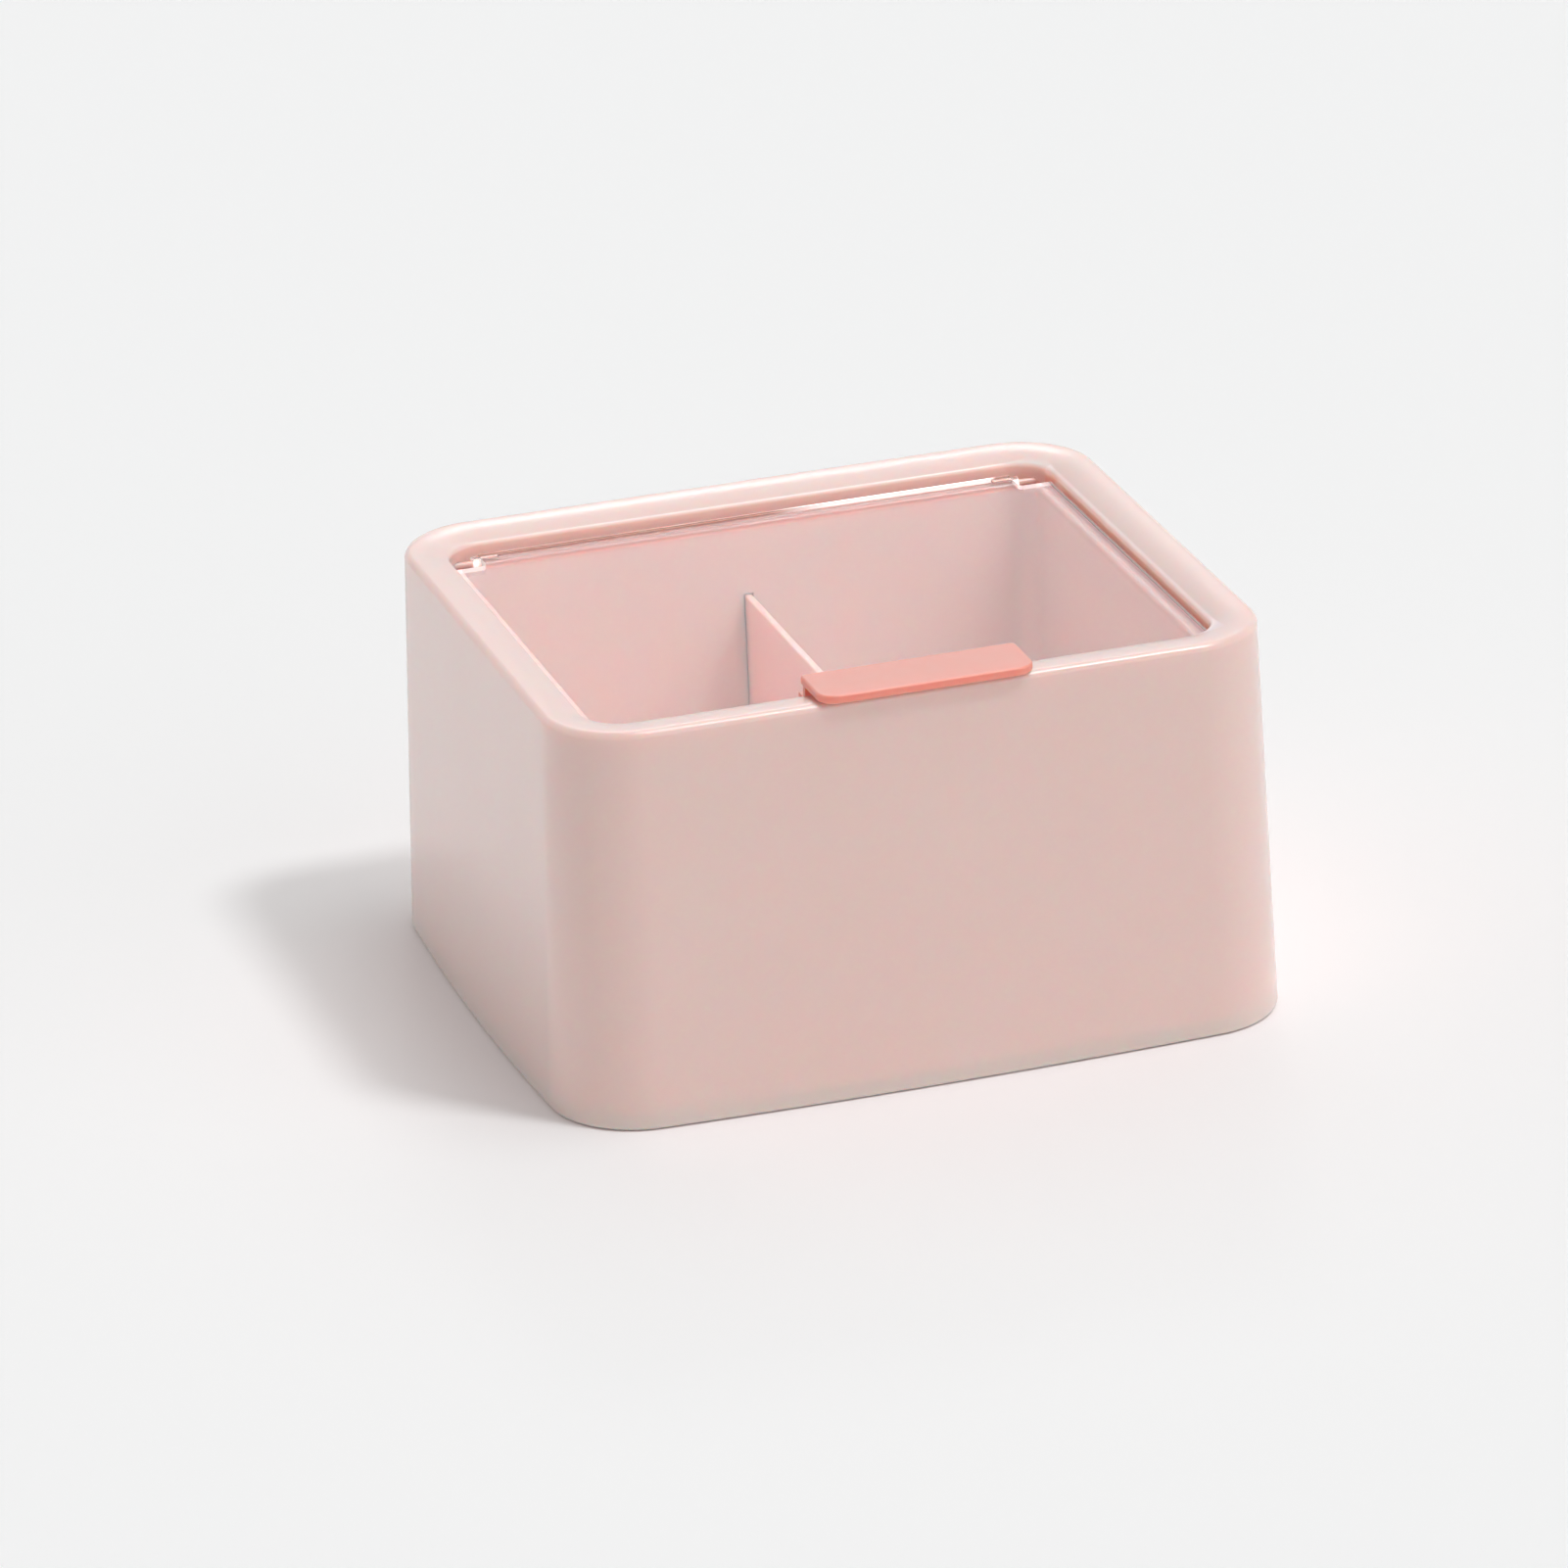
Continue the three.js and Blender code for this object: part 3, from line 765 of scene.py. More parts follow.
@dataclass(frozen=True)
class RecessPaintedShadeAndGlow:
    """Painted shade in the recess round the lid, and a painted glow for light through its walls.

    Lengths are in metres. It holds within reach, to both sides along X and Y. Each shade stop is a
    height with the shares of red, green and blue that the painted shade leaves there, and each glow
    stop a height with the painted light there, at the sides and behind, by the hinge. The painted
    light fades out to the left, away from the lamps. The ledge's own painted shade and glow go by
    X, and hold for all that lies within reach below ledge_top.
    """

    reach: tuple[float, float] = (0.0664, 0.0547)
    blend: float = 0.0004
    rear_start: float = 0.0492
    lit_start: float = -0.0655
    lit_full: float = -0.0560
    # The painted shade, by height, at the sides and behind.
    side_painted_shade: tuple[ShadeStop, ...] = (
        (0.0748, (1.0, 1.0, 1.0)),
        (0.0756, (0.88, 0.88, 0.88)),
        (0.0764, (0.80, 0.76, 0.75)),
        (0.0771, (0.88, 0.80, 0.79)),
        (0.0774, (1.0, 0.7, 0.7)),
        (0.0802, (1.0, 0.72, 0.70)),
        (0.0822, (1.0, 1.0, 1.0)),
    )
    rear_painted_shade: tuple[ShadeStop, ...] = (
        (0.0748, (1.0, 1.0, 1.0)),
        (0.0758, (0.90, 0.82, 0.80)),
        (0.0763, (0.60, 0.48, 0.46)),
        (0.0767, (0.45, 0.34, 0.33)),
        (0.0771, (0.45, 0.34, 0.33)),
        (0.0774, (1.0, 0.9, 0.9)),
        (0.0802, (1.0, 0.88, 0.86)),
        (0.0822, (1.0, 1.0, 1.0)),
    )
    # The painted glow, by height, at the sides and behind.
    side_painted_glow: tuple[ShadeStop, ...] = (
        (0.0770, (0.0, 0.0, 0.0)),
        (0.0774, (0.17, 0.030, 0.012)),
        (0.0798, (0.16, 0.038, 0.017)),
        (0.0804, (0.20, 0.088, 0.044)),
        (0.0809, (0.25, 0.155, 0.103)),
        (0.0813, (0.23, 0.202, 0.168)),
        (0.0821, (0.23, 0.195, 0.197)),
        (0.0825, (0.18, 0.190, 0.210)),
        (0.0829, (0.05, 0.090, 0.150)),
        (0.0836, (0.0, 0.0, 0.0)),
    )
    rear_painted_glow: tuple[ShadeStop, ...] = (
        (0.0770, (0.0, 0.0, 0.0)),
        (0.0774, (0.08, 0.030, 0.025)),
        (0.0803, (0.10, 0.045, 0.035)),
        (0.0818, (0.19, 0.120, 0.090)),
        (0.0825, (0.03, 0.100, 0.110)),
        (0.0831, (0.0, 0.0, 0.0)),
    )
    ledge_top: float = 0.0771
    # The ledge's painted shade and painted glow, by X.
    ledge_painted_shade: tuple[ShadeStop, ...] = (
        (0.0625, (1.0, 1.0, 1.0)),
        (0.0630, (0.82, 0.82, 0.82)),
        (0.0635, (0.75, 0.75, 0.76)),
        (0.0639, (0.88, 0.84, 0.85)),
        (0.0643, (1.0, 0.92, 0.92)),
        (0.0648, (1.0, 1.0, 1.0)),
    )
    ledge_painted_glow: tuple[ShadeStop, ...] = (
        (0.0643, (0.0, 0.0, 0.0)),
        (0.0649, (0.09, 0.050, 0.055)),
        (0.0653, (0.15, 0.080, 0.110)),
        (0.0657, (0.0, 0.0, 0.0)),
    )

    def shaded(self, sheet: NodeSheet, tone: Socket) -> tuple[Socket, Socket]:
        """Paints shade and a glow into a tone by where it lies.

        Args:
            sheet: The material's node sheet.
            tone: The tone's socket.

        Returns:
            The sockets of the tone with its painted shade and of the painted glow.
        """
        where = sheet.coordinates("Object").outputs
        within_x, within_y = (
            sheet.ramp(sheet.absolute(where[axis]), reach + self.blend, reach)
            for axis, reach in zip(("X", "Y"), self.reach)
        )
        inside = sheet.maths("MULTIPLY", within_x, within_y)
        behind = sheet.ramp(where["Y"], self.rear_start, self.rear_start + self.blend)
        side_shade, rear_shade, side_painted_light, rear_painted_light = (
            sheet.shades(where["Z"], stops)
            for stops in (self.side_painted_shade, self.rear_painted_shade, self.side_painted_glow, self.rear_painted_glow)
        )
        # Painted shade: the tone is darkened in the recess.
        shade = sheet.blend("MIX", behind, side_shade, rear_shade)
        painted_shade_tone = sheet.blend("MULTIPLY", inside, tone, shade)
        # Painted glow, faded out on the side away from the lamps.
        lit_side = sheet.ramp(where["X"], self.lit_start, self.lit_full)
        lit = sheet.maths("MULTIPLY", inside, lit_side)
        light = sheet.blend("MIX", behind, side_painted_light, rear_painted_light)
        painted_recess_glow = sheet.blend("MIX", lit, BLACK, light)
        # The ledge under the lid's edge gets its own painted shade and painted glow.
        low = sheet.ramp(where["Z"], self.ledge_top + self.blend, self.ledge_top)
        on_ledge = sheet.maths("MULTIPLY", inside, low)
        ledge_shade, ledge_painted_light = (
            sheet.shades(where["X"], stops) for stops in (self.ledge_painted_shade, self.ledge_painted_glow)
        )
        painted_shade_tone = sheet.blend("MULTIPLY", on_ledge, painted_shade_tone, ledge_shade)
        return painted_shade_tone, sheet.blend("ADD", on_ledge, painted_recess_glow, ledge_painted_light)


@dataclass(frozen=True)
class SatinPlastic:
    """Opaque moulded plastic with a satin skin and a little light under its surface."""

    name: str
    tone: Triple
    roughness: float = 0.42
    tone_drift: float = 0.012
    gloss_drift: float = 0.03
    grains_per_metre: float = 3600.0
    grain_depth_m: float = 0.0000004
    glow: float = 1.0
    glow_reach_m: float = 0.0035
    glow_colour_shares: Triple = (1.0, 0.34, 0.22)
    lacquer: float = 0.0
    lacquer_roughness: float = 0.2
    # Painted shade and painted glow for the lid's recess, if any.
    recess: RecessPaintedShadeAndGlow | None = None

    def material(self, groups: ShaderGroups) -> bpy.types.Material:
        """Makes the finish from its values.

        Args:
            groups: The shared node groups.

        Returns:
            The material.
        """
        material, sheet, shader, _ = started(self.name)
        skin = groups.place(
            sheet,
            GroupKind.MOULDED_SKIN,
            {
                "Tone": linear(self.tone),
                "Tone Drift": self.tone_drift,
                "Roughness": self.roughness,
                "Gloss Drift": self.gloss_drift,
                "Grains per Metre": self.grains_per_metre,
            },
        )
        tone = skin.outputs["Color"]
        # In the recess the tone gets painted shade, and a painted glow goes to the emission.
        if self.recess is not None:
            tone, painted_recess_glow = self.recess.shaded(sheet, tone)
            sheet.link(painted_recess_glow, shader.inputs["Emission Color"])
            shader.inputs["Emission Strength"].default_value = 1.0
        sheet.link(tone, shader.inputs["Base Color"])
        sheet.link(skin.outputs["Roughness"], shader.inputs["Roughness"])
        bumped(sheet, shader, skin.outputs["Height"], self.grain_depth_m)
        with_values(
            shader,
            {
                "Subsurface Weight": self.glow,
                "Subsurface Radius": self.glow_colour_shares,
                "Subsurface Scale": self.glow_reach_m,
                "Coat Weight": self.lacquer,
                "Coat Roughness": self.lacquer_roughness,
            },
        )
        return material


@dataclass(frozen=True)
class Hairlines:
    """Rubbed lines on a surface. The stretch draws them out along the axes where it is small."""

    roughness: float
    rubbing: float
    lines_per_metre: float
    stretch: Triple
    depth_m: float

    def draw(self, groups: ShaderGroups, sheet: NodeSheet, shader: Node) -> None:
        """Draws the lines in a material's roughness and relief.

        Args:
            groups: The shared node groups.
            sheet: The material's node sheet.
            shader: Its Principled shader.
        """
        lines = groups.place(
            sheet,
            GroupKind.HAIRLINES,
            {
                "Roughness": self.roughness,
                "Rubbing": self.rubbing,
                "Lines per Metre": self.lines_per_metre,
                "Stretch": self.stretch,
            },
        )
        sheet.link(lines.outputs["Roughness"], shader.inputs["Roughness"])
        bumped(sheet, shader, lines.outputs["Height"], self.depth_m)


@dataclass(frozen=True)
class ClearPlastic:
    """Polished clear plastic with faint rubbed lines, whose edges give off painted light.

    Places are in metres. The upright faces all round give off a painted glow in the rim tone, but
    for the rear between the hinges. Over it lie a painted glow in the rear tone along the whole
    rear edge, a painted highlight in the bright tone on a stretch of it, and a painted glow in the
    side tone on the side edges. Only the camera sees this painted light, straight or through the
    lid, and through the lid it sees side_seen_through of that of the sides.
    """

    name: str
    tint: Triple = (0.985, 0.975, 0.975)
    lines: Hairlines = Hairlines(
        roughness=0.005,
        rubbing=0.012,
        lines_per_metre=220.0,
        stretch=(1.0, 9.0, 1.0),
        depth_m=0.00000002,
    )
    bending_index: float = 1.49
    lamp_share: float = 0.88
    painted_edge_strength: float = 1.0
    edge_blend: float = 0.0002
    upright_slope: tuple[float, float] = (0.6, 0.2)
    rim_hinge_y: tuple[float, float] = (0.0515, 0.0505)
    rim_hinge_x: tuple[float, float] = (0.0585, 0.0590)
    rim_painted_tone: Triple = (0.66, 0.65, 0.645)
    rear_start: float = 0.0533
    rear_painted_tone: Triple = (0.584, 0.437, 0.374)
    # Where the painted highlight lies along the rear edge, and its colour.
    bright_start: float = 0.0527
    bright_span: tuple[float, float] = (0.006, 0.0555)
    bright_span_blend: tuple[float, float] = (0.012, 0.001)
    painted_highlight_tone: Triple = (1.0, 0.97, 0.96)
    side_start: float = 0.0653
    side_painted_tone: Triple = (0.59, 0.36, 0.33)
    side_seen_through: float = 0.15

    def material(self, groups: ShaderGroups) -> bpy.types.Material:
        """Makes the finish from its values. Most of the lamps' light passes through it.

        Args:
            groups: The shared node groups.

        Returns:
            The material.
        """
        material, sheet, shader, output = started(self.name)
        with_values(
            shader,
            {
                "Base Color": linear(self.tint),
                "Transmission Weight": 1.0,
                "IOR": self.bending_index,
                "Emission Strength": self.painted_edge_strength,
            },
        )
        self.lines.draw(groups, sheet, shader)
        path = sheet.add("ShaderNodeLightPath")
        # The edges' painted light goes to the emission.
        sheet.link(self.painted_edge_light(sheet, path), shader.inputs["Emission Color"])
        through = sheet.add("ShaderNodeBsdfTransparent")
        through.inputs["Color"].default_value = (self.lamp_share,) * 3 + (1.0,)
        mix = sheet.add("ShaderNodeMixShader")
        sheet.link(path.outputs["Is Shadow Ray"], mix.inputs[0])
        sheet.link(shader.outputs[0], mix.inputs[1])
        sheet.link(through.outputs[0], mix.inputs[2])
        sheet.link(mix.outputs[0], output.inputs["Surface"])
        return material

    def painted_edge_light(self, sheet: NodeSheet, path: Node) -> Socket:
        """Lays the painted lights of the edges over each other.

        Args:
            sheet: The material's node sheet.
            path: Its Light Path node.

        Returns:
            The socket of the painted light's colour.
        """
        straight, through = (path.outputs[f"Is {kind} Ray"] for kind in ("Camera", "Transmission"))
        looks = sheet.maths("MAXIMUM", straight, through)
        sides_through = sheet.maths("MULTIPLY", through, self.side_seen_through)
        side_looks = sheet.maths("MAXIMUM", straight, sides_through)
        light: object = BLACK
        # Each place gets its painted light over the last.
        for place, seen, tone in (
            (self.on_rim(sheet), looks, self.rim_painted_tone),
            (self.on_rear(sheet), looks, self.rear_painted_tone),
            (self.on_painted_highlight(sheet), looks, self.painted_highlight_tone),
            (self.on_sides(sheet), side_looks, self.side_painted_tone),
        ):
            share = sheet.maths("MULTIPLY", place, seen)
            light = sheet.blend("MIX", share, light, linear(tone))
        return light

    def upright(self, sheet: NodeSheet) -> Socket:
        """How far a face stands upright."""
        slope = sheet.coordinates("Normal").outputs["Z"]
        return sheet.ramp(sheet.maths("MULTIPLY", slope, slope), *self.upright_slope)

    def on_rim(self, sheet: NodeSheet) -> Socket:
        """Where the upright faces all round are, but for the rear between the hinges.

        Args:
            sheet: The material's node sheet.

        Returns:
            A socket that is 1 there and 0 elsewhere.
        """
        where = sheet.coordinates("Object").outputs
        ahead = sheet.ramp(where["Y"], *self.rim_hinge_y)
        aside = sheet.ramp(sheet.absolute(where["X"]), *self.rim_hinge_x)
        return sheet.maths("MULTIPLY", self.upright(sheet), sheet.maths("MAXIMUM", ahead, aside))

    def on_rear(self, sheet: NodeSheet) -> Socket:
        """Where the rear edge is."""
        where = sheet.coordinates("Object").outputs["Y"]
        return sheet.ramp(where, self.rear_start, self.rear_start + self.edge_blend)

    def on_painted_highlight(self, sheet: NodeSheet) -> Socket:
        """Where the painted highlight lies: it rises slowly from the left and ends by the hinge.

        Args:
            sheet: The material's node sheet.

        Returns:
            A socket that is 1 there and 0 elsewhere.
        """
        where = sheet.coordinates("Object").outputs
        (left, right), (rise, fall) = self.bright_span, self.bright_span_blend
        edge = sheet.ramp(where["Y"], self.bright_start, self.bright_start + self.edge_blend)
        risen = sheet.ramp(where["X"], left, left + rise)
        not_fallen = sheet.ramp(where["X"], right, right - fall)
        return sheet.maths("MULTIPLY", edge, sheet.maths("MULTIPLY", risen, not_fallen))

    def on_sides(self, sheet: NodeSheet) -> Socket:
        """Where the side edges are.

        Args:
            sheet: The material's node sheet.

        Returns:
            A socket that is 1 there and 0 elsewhere.
        """
        side = sheet.absolute(sheet.coordinates("Object").outputs["X"])
        beyond = sheet.ramp(side, self.side_start, self.side_start + self.edge_blend)
        return sheet.maths("MULTIPLY", self.upright(sheet), beyond)


@dataclass(frozen=True)
class TurnedSteel:
    """Bright steel with fine turning marks round it."""

    name: str
    tone: Triple = (0.80, 0.81, 0.83)
    lines: Hairlines = Hairlines(
        roughness=0.3,
        rubbing=0.1,
        lines_per_metre=900.0,
        stretch=(6.0, 1.0, 6.0),
        depth_m=0.000006,
    )

    def material(self, groups: ShaderGroups) -> bpy.types.Material:
        """Makes the finish from its values.

        Args:
            groups: The shared node groups.

        Returns:
            The material.
        """
        material, sheet, shader, _ = started(self.name)
        with_values(shader, {"Base Color": linear(self.tone), "Metallic": 1.0})
        self.lines.draw(groups, sheet, shader)
        return material


@dataclass(frozen=True)
class Finishes:
    """Every finish on the box."""

    pink: bpy.types.Material
    coral: bpy.types.Material
    clear: bpy.types.Material
    steel: bpy.types.Material
    silicone: bpy.types.Material


def all_finishes() -> Finishes:
    """Makes the box's finishes.

    Returns:
        The finishes.
    """
    groups = ShaderGroups()
    pink = SatinPlastic(
        "pink_plastic", (0.968, 0.822, 0.796), roughness=0.34, lacquer=0.8, recess=RecessPaintedShadeAndGlow()
    )
    coral = SatinPlastic("coral_plastic", (0.94, 0.585, 0.515), roughness=0.4, lacquer=0.7)
    silicone = SatinPlastic("silicone", (0.90, 0.885, 0.875), roughness=0.62)
    return Finishes(
        pink=pink.material(groups),
        coral=coral.material(groups),
        clear=ClearPlastic("clear_plastic").material(groups),
        steel=TurnedSteel("steel").material(groups),
        silicone=silicone.material(groups),
    )


class Slot(Enum):
    """The record's material slots."""

    PINK = "pink_plastic"
    CORAL = "coral_plastic"
    CLEAR = "clear_plastic"
    STEEL = "steel"
    SILICONE = "silicone"


class Body(Enum):
    """The bodies that pieces move with."""

    BOX = "box"
    LID = "lid"


def placed(piece: bpy.types.Object, body: Body, slot: Slot, node: str) -> None:
    """Puts a finished piece on its body in place of its node.

    Args:
        piece: The piece.
        body: The body that it moves with.
        slot: The material slot that its finish belongs to. It is not used.
        node: The node that it stands for.
    """
    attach(piece, body.value)
    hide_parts(node)
    log.info("%s rides on %s and stands for %s", piece.name, body.value, node)


# The box's pieces


@dataclass(frozen=True)
class Levels:
    """Heights and places that more than one piece shares."""

    body_height: float = 84.0
    rim_drop: float = 1.5
    lid_sink: float = 2.3
    lid_edge_height: float = 3.0
    tongue_thickness: float = 1.8
    stand_off: float = 0.15
    cover_recess: float = 0.5
    cover_thickness: float = 2.2
    bin_floor: float = 1.8
    head_height: float = 1.5
    cup_floor: float = 1.4
    boss_height: float = 13.0
    rim_length: float = 150.0
    rim_depth: float = 128.5
    rim_side_width: float = 8.95
    rim_front_width: float = 9.9
    recess_corner_radius: float = 8.7
    hinge_back_gap: float = 0.7
    pin_radius: float = 0.7
    lug_radius: float = 1.4

    @property
    def rim_inner_z(self) -> float:
        """Height of the rim's inner edge."""
        return self.body_height - self.rim_drop

    @property
    def lid_top(self) -> float:
        """Height of the lid's upper face."""
        return self.rim_inner_z - self.lid_sink

    @property
    def lid_bottom(self) -> float:
        """Height of the lid's lower edge."""
        return self.lid_top - self.lid_edge_height

    @property
    def tongue_bottom(self) -> float:
        """Height of the underside of the lid's thinned front tongue."""
        return self.lid_top - self.tongue_thickness

    @property
    def ledge_z(self) -> float:
        """Height of the ledge that the lid's edge rests on."""
        return self.lid_bottom - SEAT_GAP

    @property
    def cover_bottom(self) -> float:
        """Height of the base cover's underside."""
        return self.stand_off + self.cover_recess

    @property
    def cover_top(self) -> float:
        """Height of the base cover's upper face."""
        return self.cover_bottom + self.cover_thickness

    @property
    def bin_bottom(self) -> float:
        """Height of the bin's underside."""
        return self.cover_top + SEAT_GAP

    @property
    def bin_floor_z(self) -> float:
        """Height of the bin's floor."""
        return self.bin_bottom + self.bin_floor

    @property
    def head_top(self) -> float:
        """Height of the screw heads' bearing face."""
        return self.cover_bottom + self.head_height

    @property
    def cup_top(self) -> float:
        """Height of the screw cups' top."""
        return self.head_top + SEAT_GAP + self.cup_floor

    @property
    def boss_bottom(self) -> float:
        """Height of the screw bosses' lower face."""
        return self.cup_top + SEAT_GAP

    @property
    def boss_top(self) -> float:
        """Height of the screw bosses' upper face."""
        return self.boss_bottom + self.boss_height

    @property
    def recess(self) -> RoundRectangle:
        """The lid's recess in plan.

        Returns:
            The outline.
        """
        return RoundRectangle(
            self.rim_length - 2 * self.rim_side_width,
            self.rim_depth - 2 * self.rim_front_width,
            self.recess_corner_radius,
        )

    @property
    def hinge_round(self) -> float:
        """Radius of the lid's lower rear edge, round the hinge axis."""
        return self.lid_edge_height / 2

    @property
    def hinge_y(self) -> float:
        """Place of the hinge axis along Y."""
        return self.recess.depth / 2 - self.hinge_back_gap - self.hinge_round

    @property
    def hinge_z(self) -> float:
        """Height of the hinge axis."""
        return self.lid_top - self.hinge_round

    def recess_half_length(self, y: float, corner_radius: float) -> float:
        """Half of the recess's length at a place along Y in its rear corners.

        Args:
            y: The place.
            corner_radius: The corners' radius, which may be that of an outline inside the recess.

        Returns:
            The distance from the middle.
        """
        centre_x, centre_y = self.recess.corner_centre
        return centre_x + math.sqrt(corner_radius**2 - (y - centre_y) ** 2)

    @property
    def lug_end(self) -> float:
        """Distance of the lugs' outer ends from the middle."""
        corner_radius = self.recess.radius - LID_GAP
        return self.recess_half_length(self.hinge_y + self.lug_radius, corner_radius)

    @property
    def bearing_x(self) -> float:
        """Distance of the bearings' inner faces from the middle."""
        return self.recess_half_length(self.hinge_y, self.recess.radius)

    def hinge_bar(self, radius: float, start: float, end: float) -> Form:
        """Makes a round bar on the hinge axis.

        Args:
            radius: The bar's radius.
            start: One end along X.
            end: The other end along X.

        Returns:
            The bar.
        """
        profile = [(self.hinge_y + y, self.hinge_z + z) for y, z in circle(radius)]
        return drawn_along_x(profile, min(start, end), max(start, end))


@dataclass
class OuterShell:
    """Tapered double wall with a rolled rim, a recess for the lid and four screw bosses."""

    levels: Levels
    rim_corner_radius: float = 17.2
    side_flare: float = 2.4
    front_flare: float = 3.25
    foot_corner_radius: float = 19.0
    foot_bow: float = 1.4
    foot_round: float = 0.9
    wall: float = 2.4
    rim_thickness: float = 2.2
    rim_outer_round: float = 1.5
    rim_inner_round: float = 1.0
    recess_wall: float = 1.8
    cover_rabbet: float = 1.2
    boss_radius: float = 3.6
    boss_rib: float = 1.6
    pilot_depth: float = 9.5
    shank_radius: float = 1.2
    head_radius: float = 2.5
    cup_wall: float = 1.4
    saddle_width: float = 2.4

    def body(self, height: float) -> RoundRectangle:
        """The outside at a height: it widens and its sides bow out towards the foot.

        Args:
            height: The height.

        Returns:
            The outline.
        """
        share = (self.levels.body_height - height) / self.levels.body_height
        radius = self.rim_corner_radius + (self.foot_corner_radius - self.rim_corner_radius) * share
        return RoundRectangle(
            self.levels.rim_length + 2 * self.side_flare * share,
            self.levels.rim_depth + 2 * self.front_flare * share,
            radius,
            self.foot_bow * share,
        )

    def body_ring(self, height: float, inset: float = 0.0) -> Ring:
        """The outside's ring at a height, drawn in by inset."""
        return self.body(height).ring(height, inset)

    @property
    def cup_radius(self) -> float:
        """Outer radius of the cups that hold the screw heads."""
        return self.head_radius + SEAT_GAP + self.cup_wall

    def screw_place(self, corner: Corner) -> tuple[float, float]:
        """Place of a screw in a corner of the shell, where its cup just clears the wall.

        Args:
            corner: Which corner of the box.

        Returns:
            The place along X and Y.
        """
        size = self.body(self.levels.boss_bottom)
        inner = size.radius - self.wall
        reach = (inner - SEAT_GAP - self.cup_radius) * DIAGONAL_SHARE
        centre_x, centre_y = size.corner_centre
        sign_x, sign_y = corner.value
        return sign_x * (centre_x + reach), sign_y * (centre_y + reach)

    def rim_rings(self) -> list[Ring]:
        """The outer round, a crest that falls towards the lid, and the inner round.

        Returns:
            The rings, from the outside inwards.
        """
        height = self.levels.body_height
        recess = self.levels.recess
        shoulder = height - self.rim_outer_round
        rings = []
        for out, up in quarter_round():
            z = shoulder + self.rim_outer_round * up
            rings.append(self.body_ring(z, self.rim_outer_round * out))
        crest = rings[-1]
        slope = math.atan2(2 * self.levels.rim_drop, self.levels.rim_side_width)
        inner_z = self.levels.rim_inner_z
        edge = recess.ring(inner_z, -self.rim_inner_round * (1 - math.sin(slope)))
        for step in range(1, DOME_STEPS + 1):
            share = step / DOME_STEPS
            rings.append(blended(crest, edge, share, height - self.levels.rim_drop * share**2))
        centre_z = inner_z - self.rim_inner_round * math.cos(slope)
        for step in range(1, FILLET_STEPS + 1):
            angle = slope + (QUARTER_TURN - slope) * step / FILLET_STEPS
            z = centre_z + self.rim_inner_round * math.cos(angle)
            rings.append(recess.ring(z, -self.rim_inner_round * (1 - math.sin(angle))))
        return rings

    def skin(self) -> Form:
        """The double wall: up the outside, over the rim, down the recess and back up inside.

        Returns:
            The closed form.
        """
        levels = self.levels
        foot = []
        for out, up in reversed(quarter_round()):
            height = levels.stand_off + self.foot_round * (1 - up)
            foot.append(self.body_ring(height, self.foot_round * out))
        rabbet_top = levels.cover_top + SEAT_GAP
        rabbet_inset = self.wall - self.cover_rabbet
        recess = levels.recess
        return loft(
            [
                *foot,
                *self.rim_rings(),
                recess.ring(levels.lid_bottom),
                recess.ring(levels.lid_bottom, -self.recess_wall),
                recess.ring(levels.rim_inner_z - self.rim_thickness, -self.recess_wall),
                self.body_ring(levels.body_height - self.rim_thickness, self.wall),
                self.body_ring(rabbet_top, self.wall),
                self.body_ring(rabbet_top, rabbet_inset),
                self.body_ring(levels.stand_off, rabbet_inset),
            ],
            capped=False,
        )

    def boss(self, corner: Corner) -> Form:
        """A screw boss with the rib that ties it to the shell's round corner.

        Args:
            corner: Which corner of the box.

        Returns:
            The boss with its pilot hole.
        """
        low, high = self.levels.boss_bottom, self.levels.boss_top
        x, y = self.screw_place(corner)
        reach = self.cup_radius + SEAT_GAP + self.wall
        rib = block((0, -self.boss_rib / 2, low), (reach, self.boss_rib / 2, high))
        turn = math.atan2(corner.value[1], corner.value[0])
        rib.piece.data.transform(Matrix.Rotation(turn, 4, "Z"))
        boss = column(x, y, self.boss_radius, low, high)
        boss.join(moved(rib, x, y), Join.ADD)
        inside = loft([self.body_ring(z, self.wall / 2) for z in (low, high)])
        boss.join(inside, Join.KEEP)
        hole = self.shank_radius + THREAD_GAP
        pilot = column(x, y, hole, low - OVERRUN, low + self.pilot_depth)
        return boss.join(pilot, Join.CUT)

    def hinge_slot(self, side: Side) -> Form:
        """The upper half of a pin bearing, open below.

        Args:
            side: Which end of the hinge.

        Returns:
            The form to cut from the shell.
        """
        levels = self.levels
        inner = side.value * (levels.lug_end + LID_GAP / 2)
        outer = side.value * (levels.bearing_x + levels.recess.radius)
        half = self.saddle_width / 2 + SEAT_GAP
        low = levels.lid_bottom - OVERRUN
        mouth = block(
            (min(inner, outer), levels.hinge_y - half, low),
            (max(inner, outer), levels.hinge_y + half, levels.hinge_z),
        )
        mouth.join(levels.hinge_bar(levels.pin_radius + PIN_GAP, inner, outer), Join.ADD)
        outset = -self.recess_wall - SEAT_GAP
        band = loft([levels.recess.ring(z, outset) for z in (low, levels.rim_inner_z)])
        return mouth.join(band, Join.KEEP)

    def build(self, finishes: Finishes) -> None:
        """Builds and dresses the shell.

        Args:
            finishes: The box's finishes.
        """
        shell = self.skin()
        for corner in Corner:
            shell.join(self.boss(corner), Join.ADD)
        for side in Side:
            shell.join(self.hinge_slot(side), Join.CUT)
        piece = shell.finished("shell_wall", finishes.pink)
        placed(piece, Body.BOX, Slot.PINK, "outer_shell")


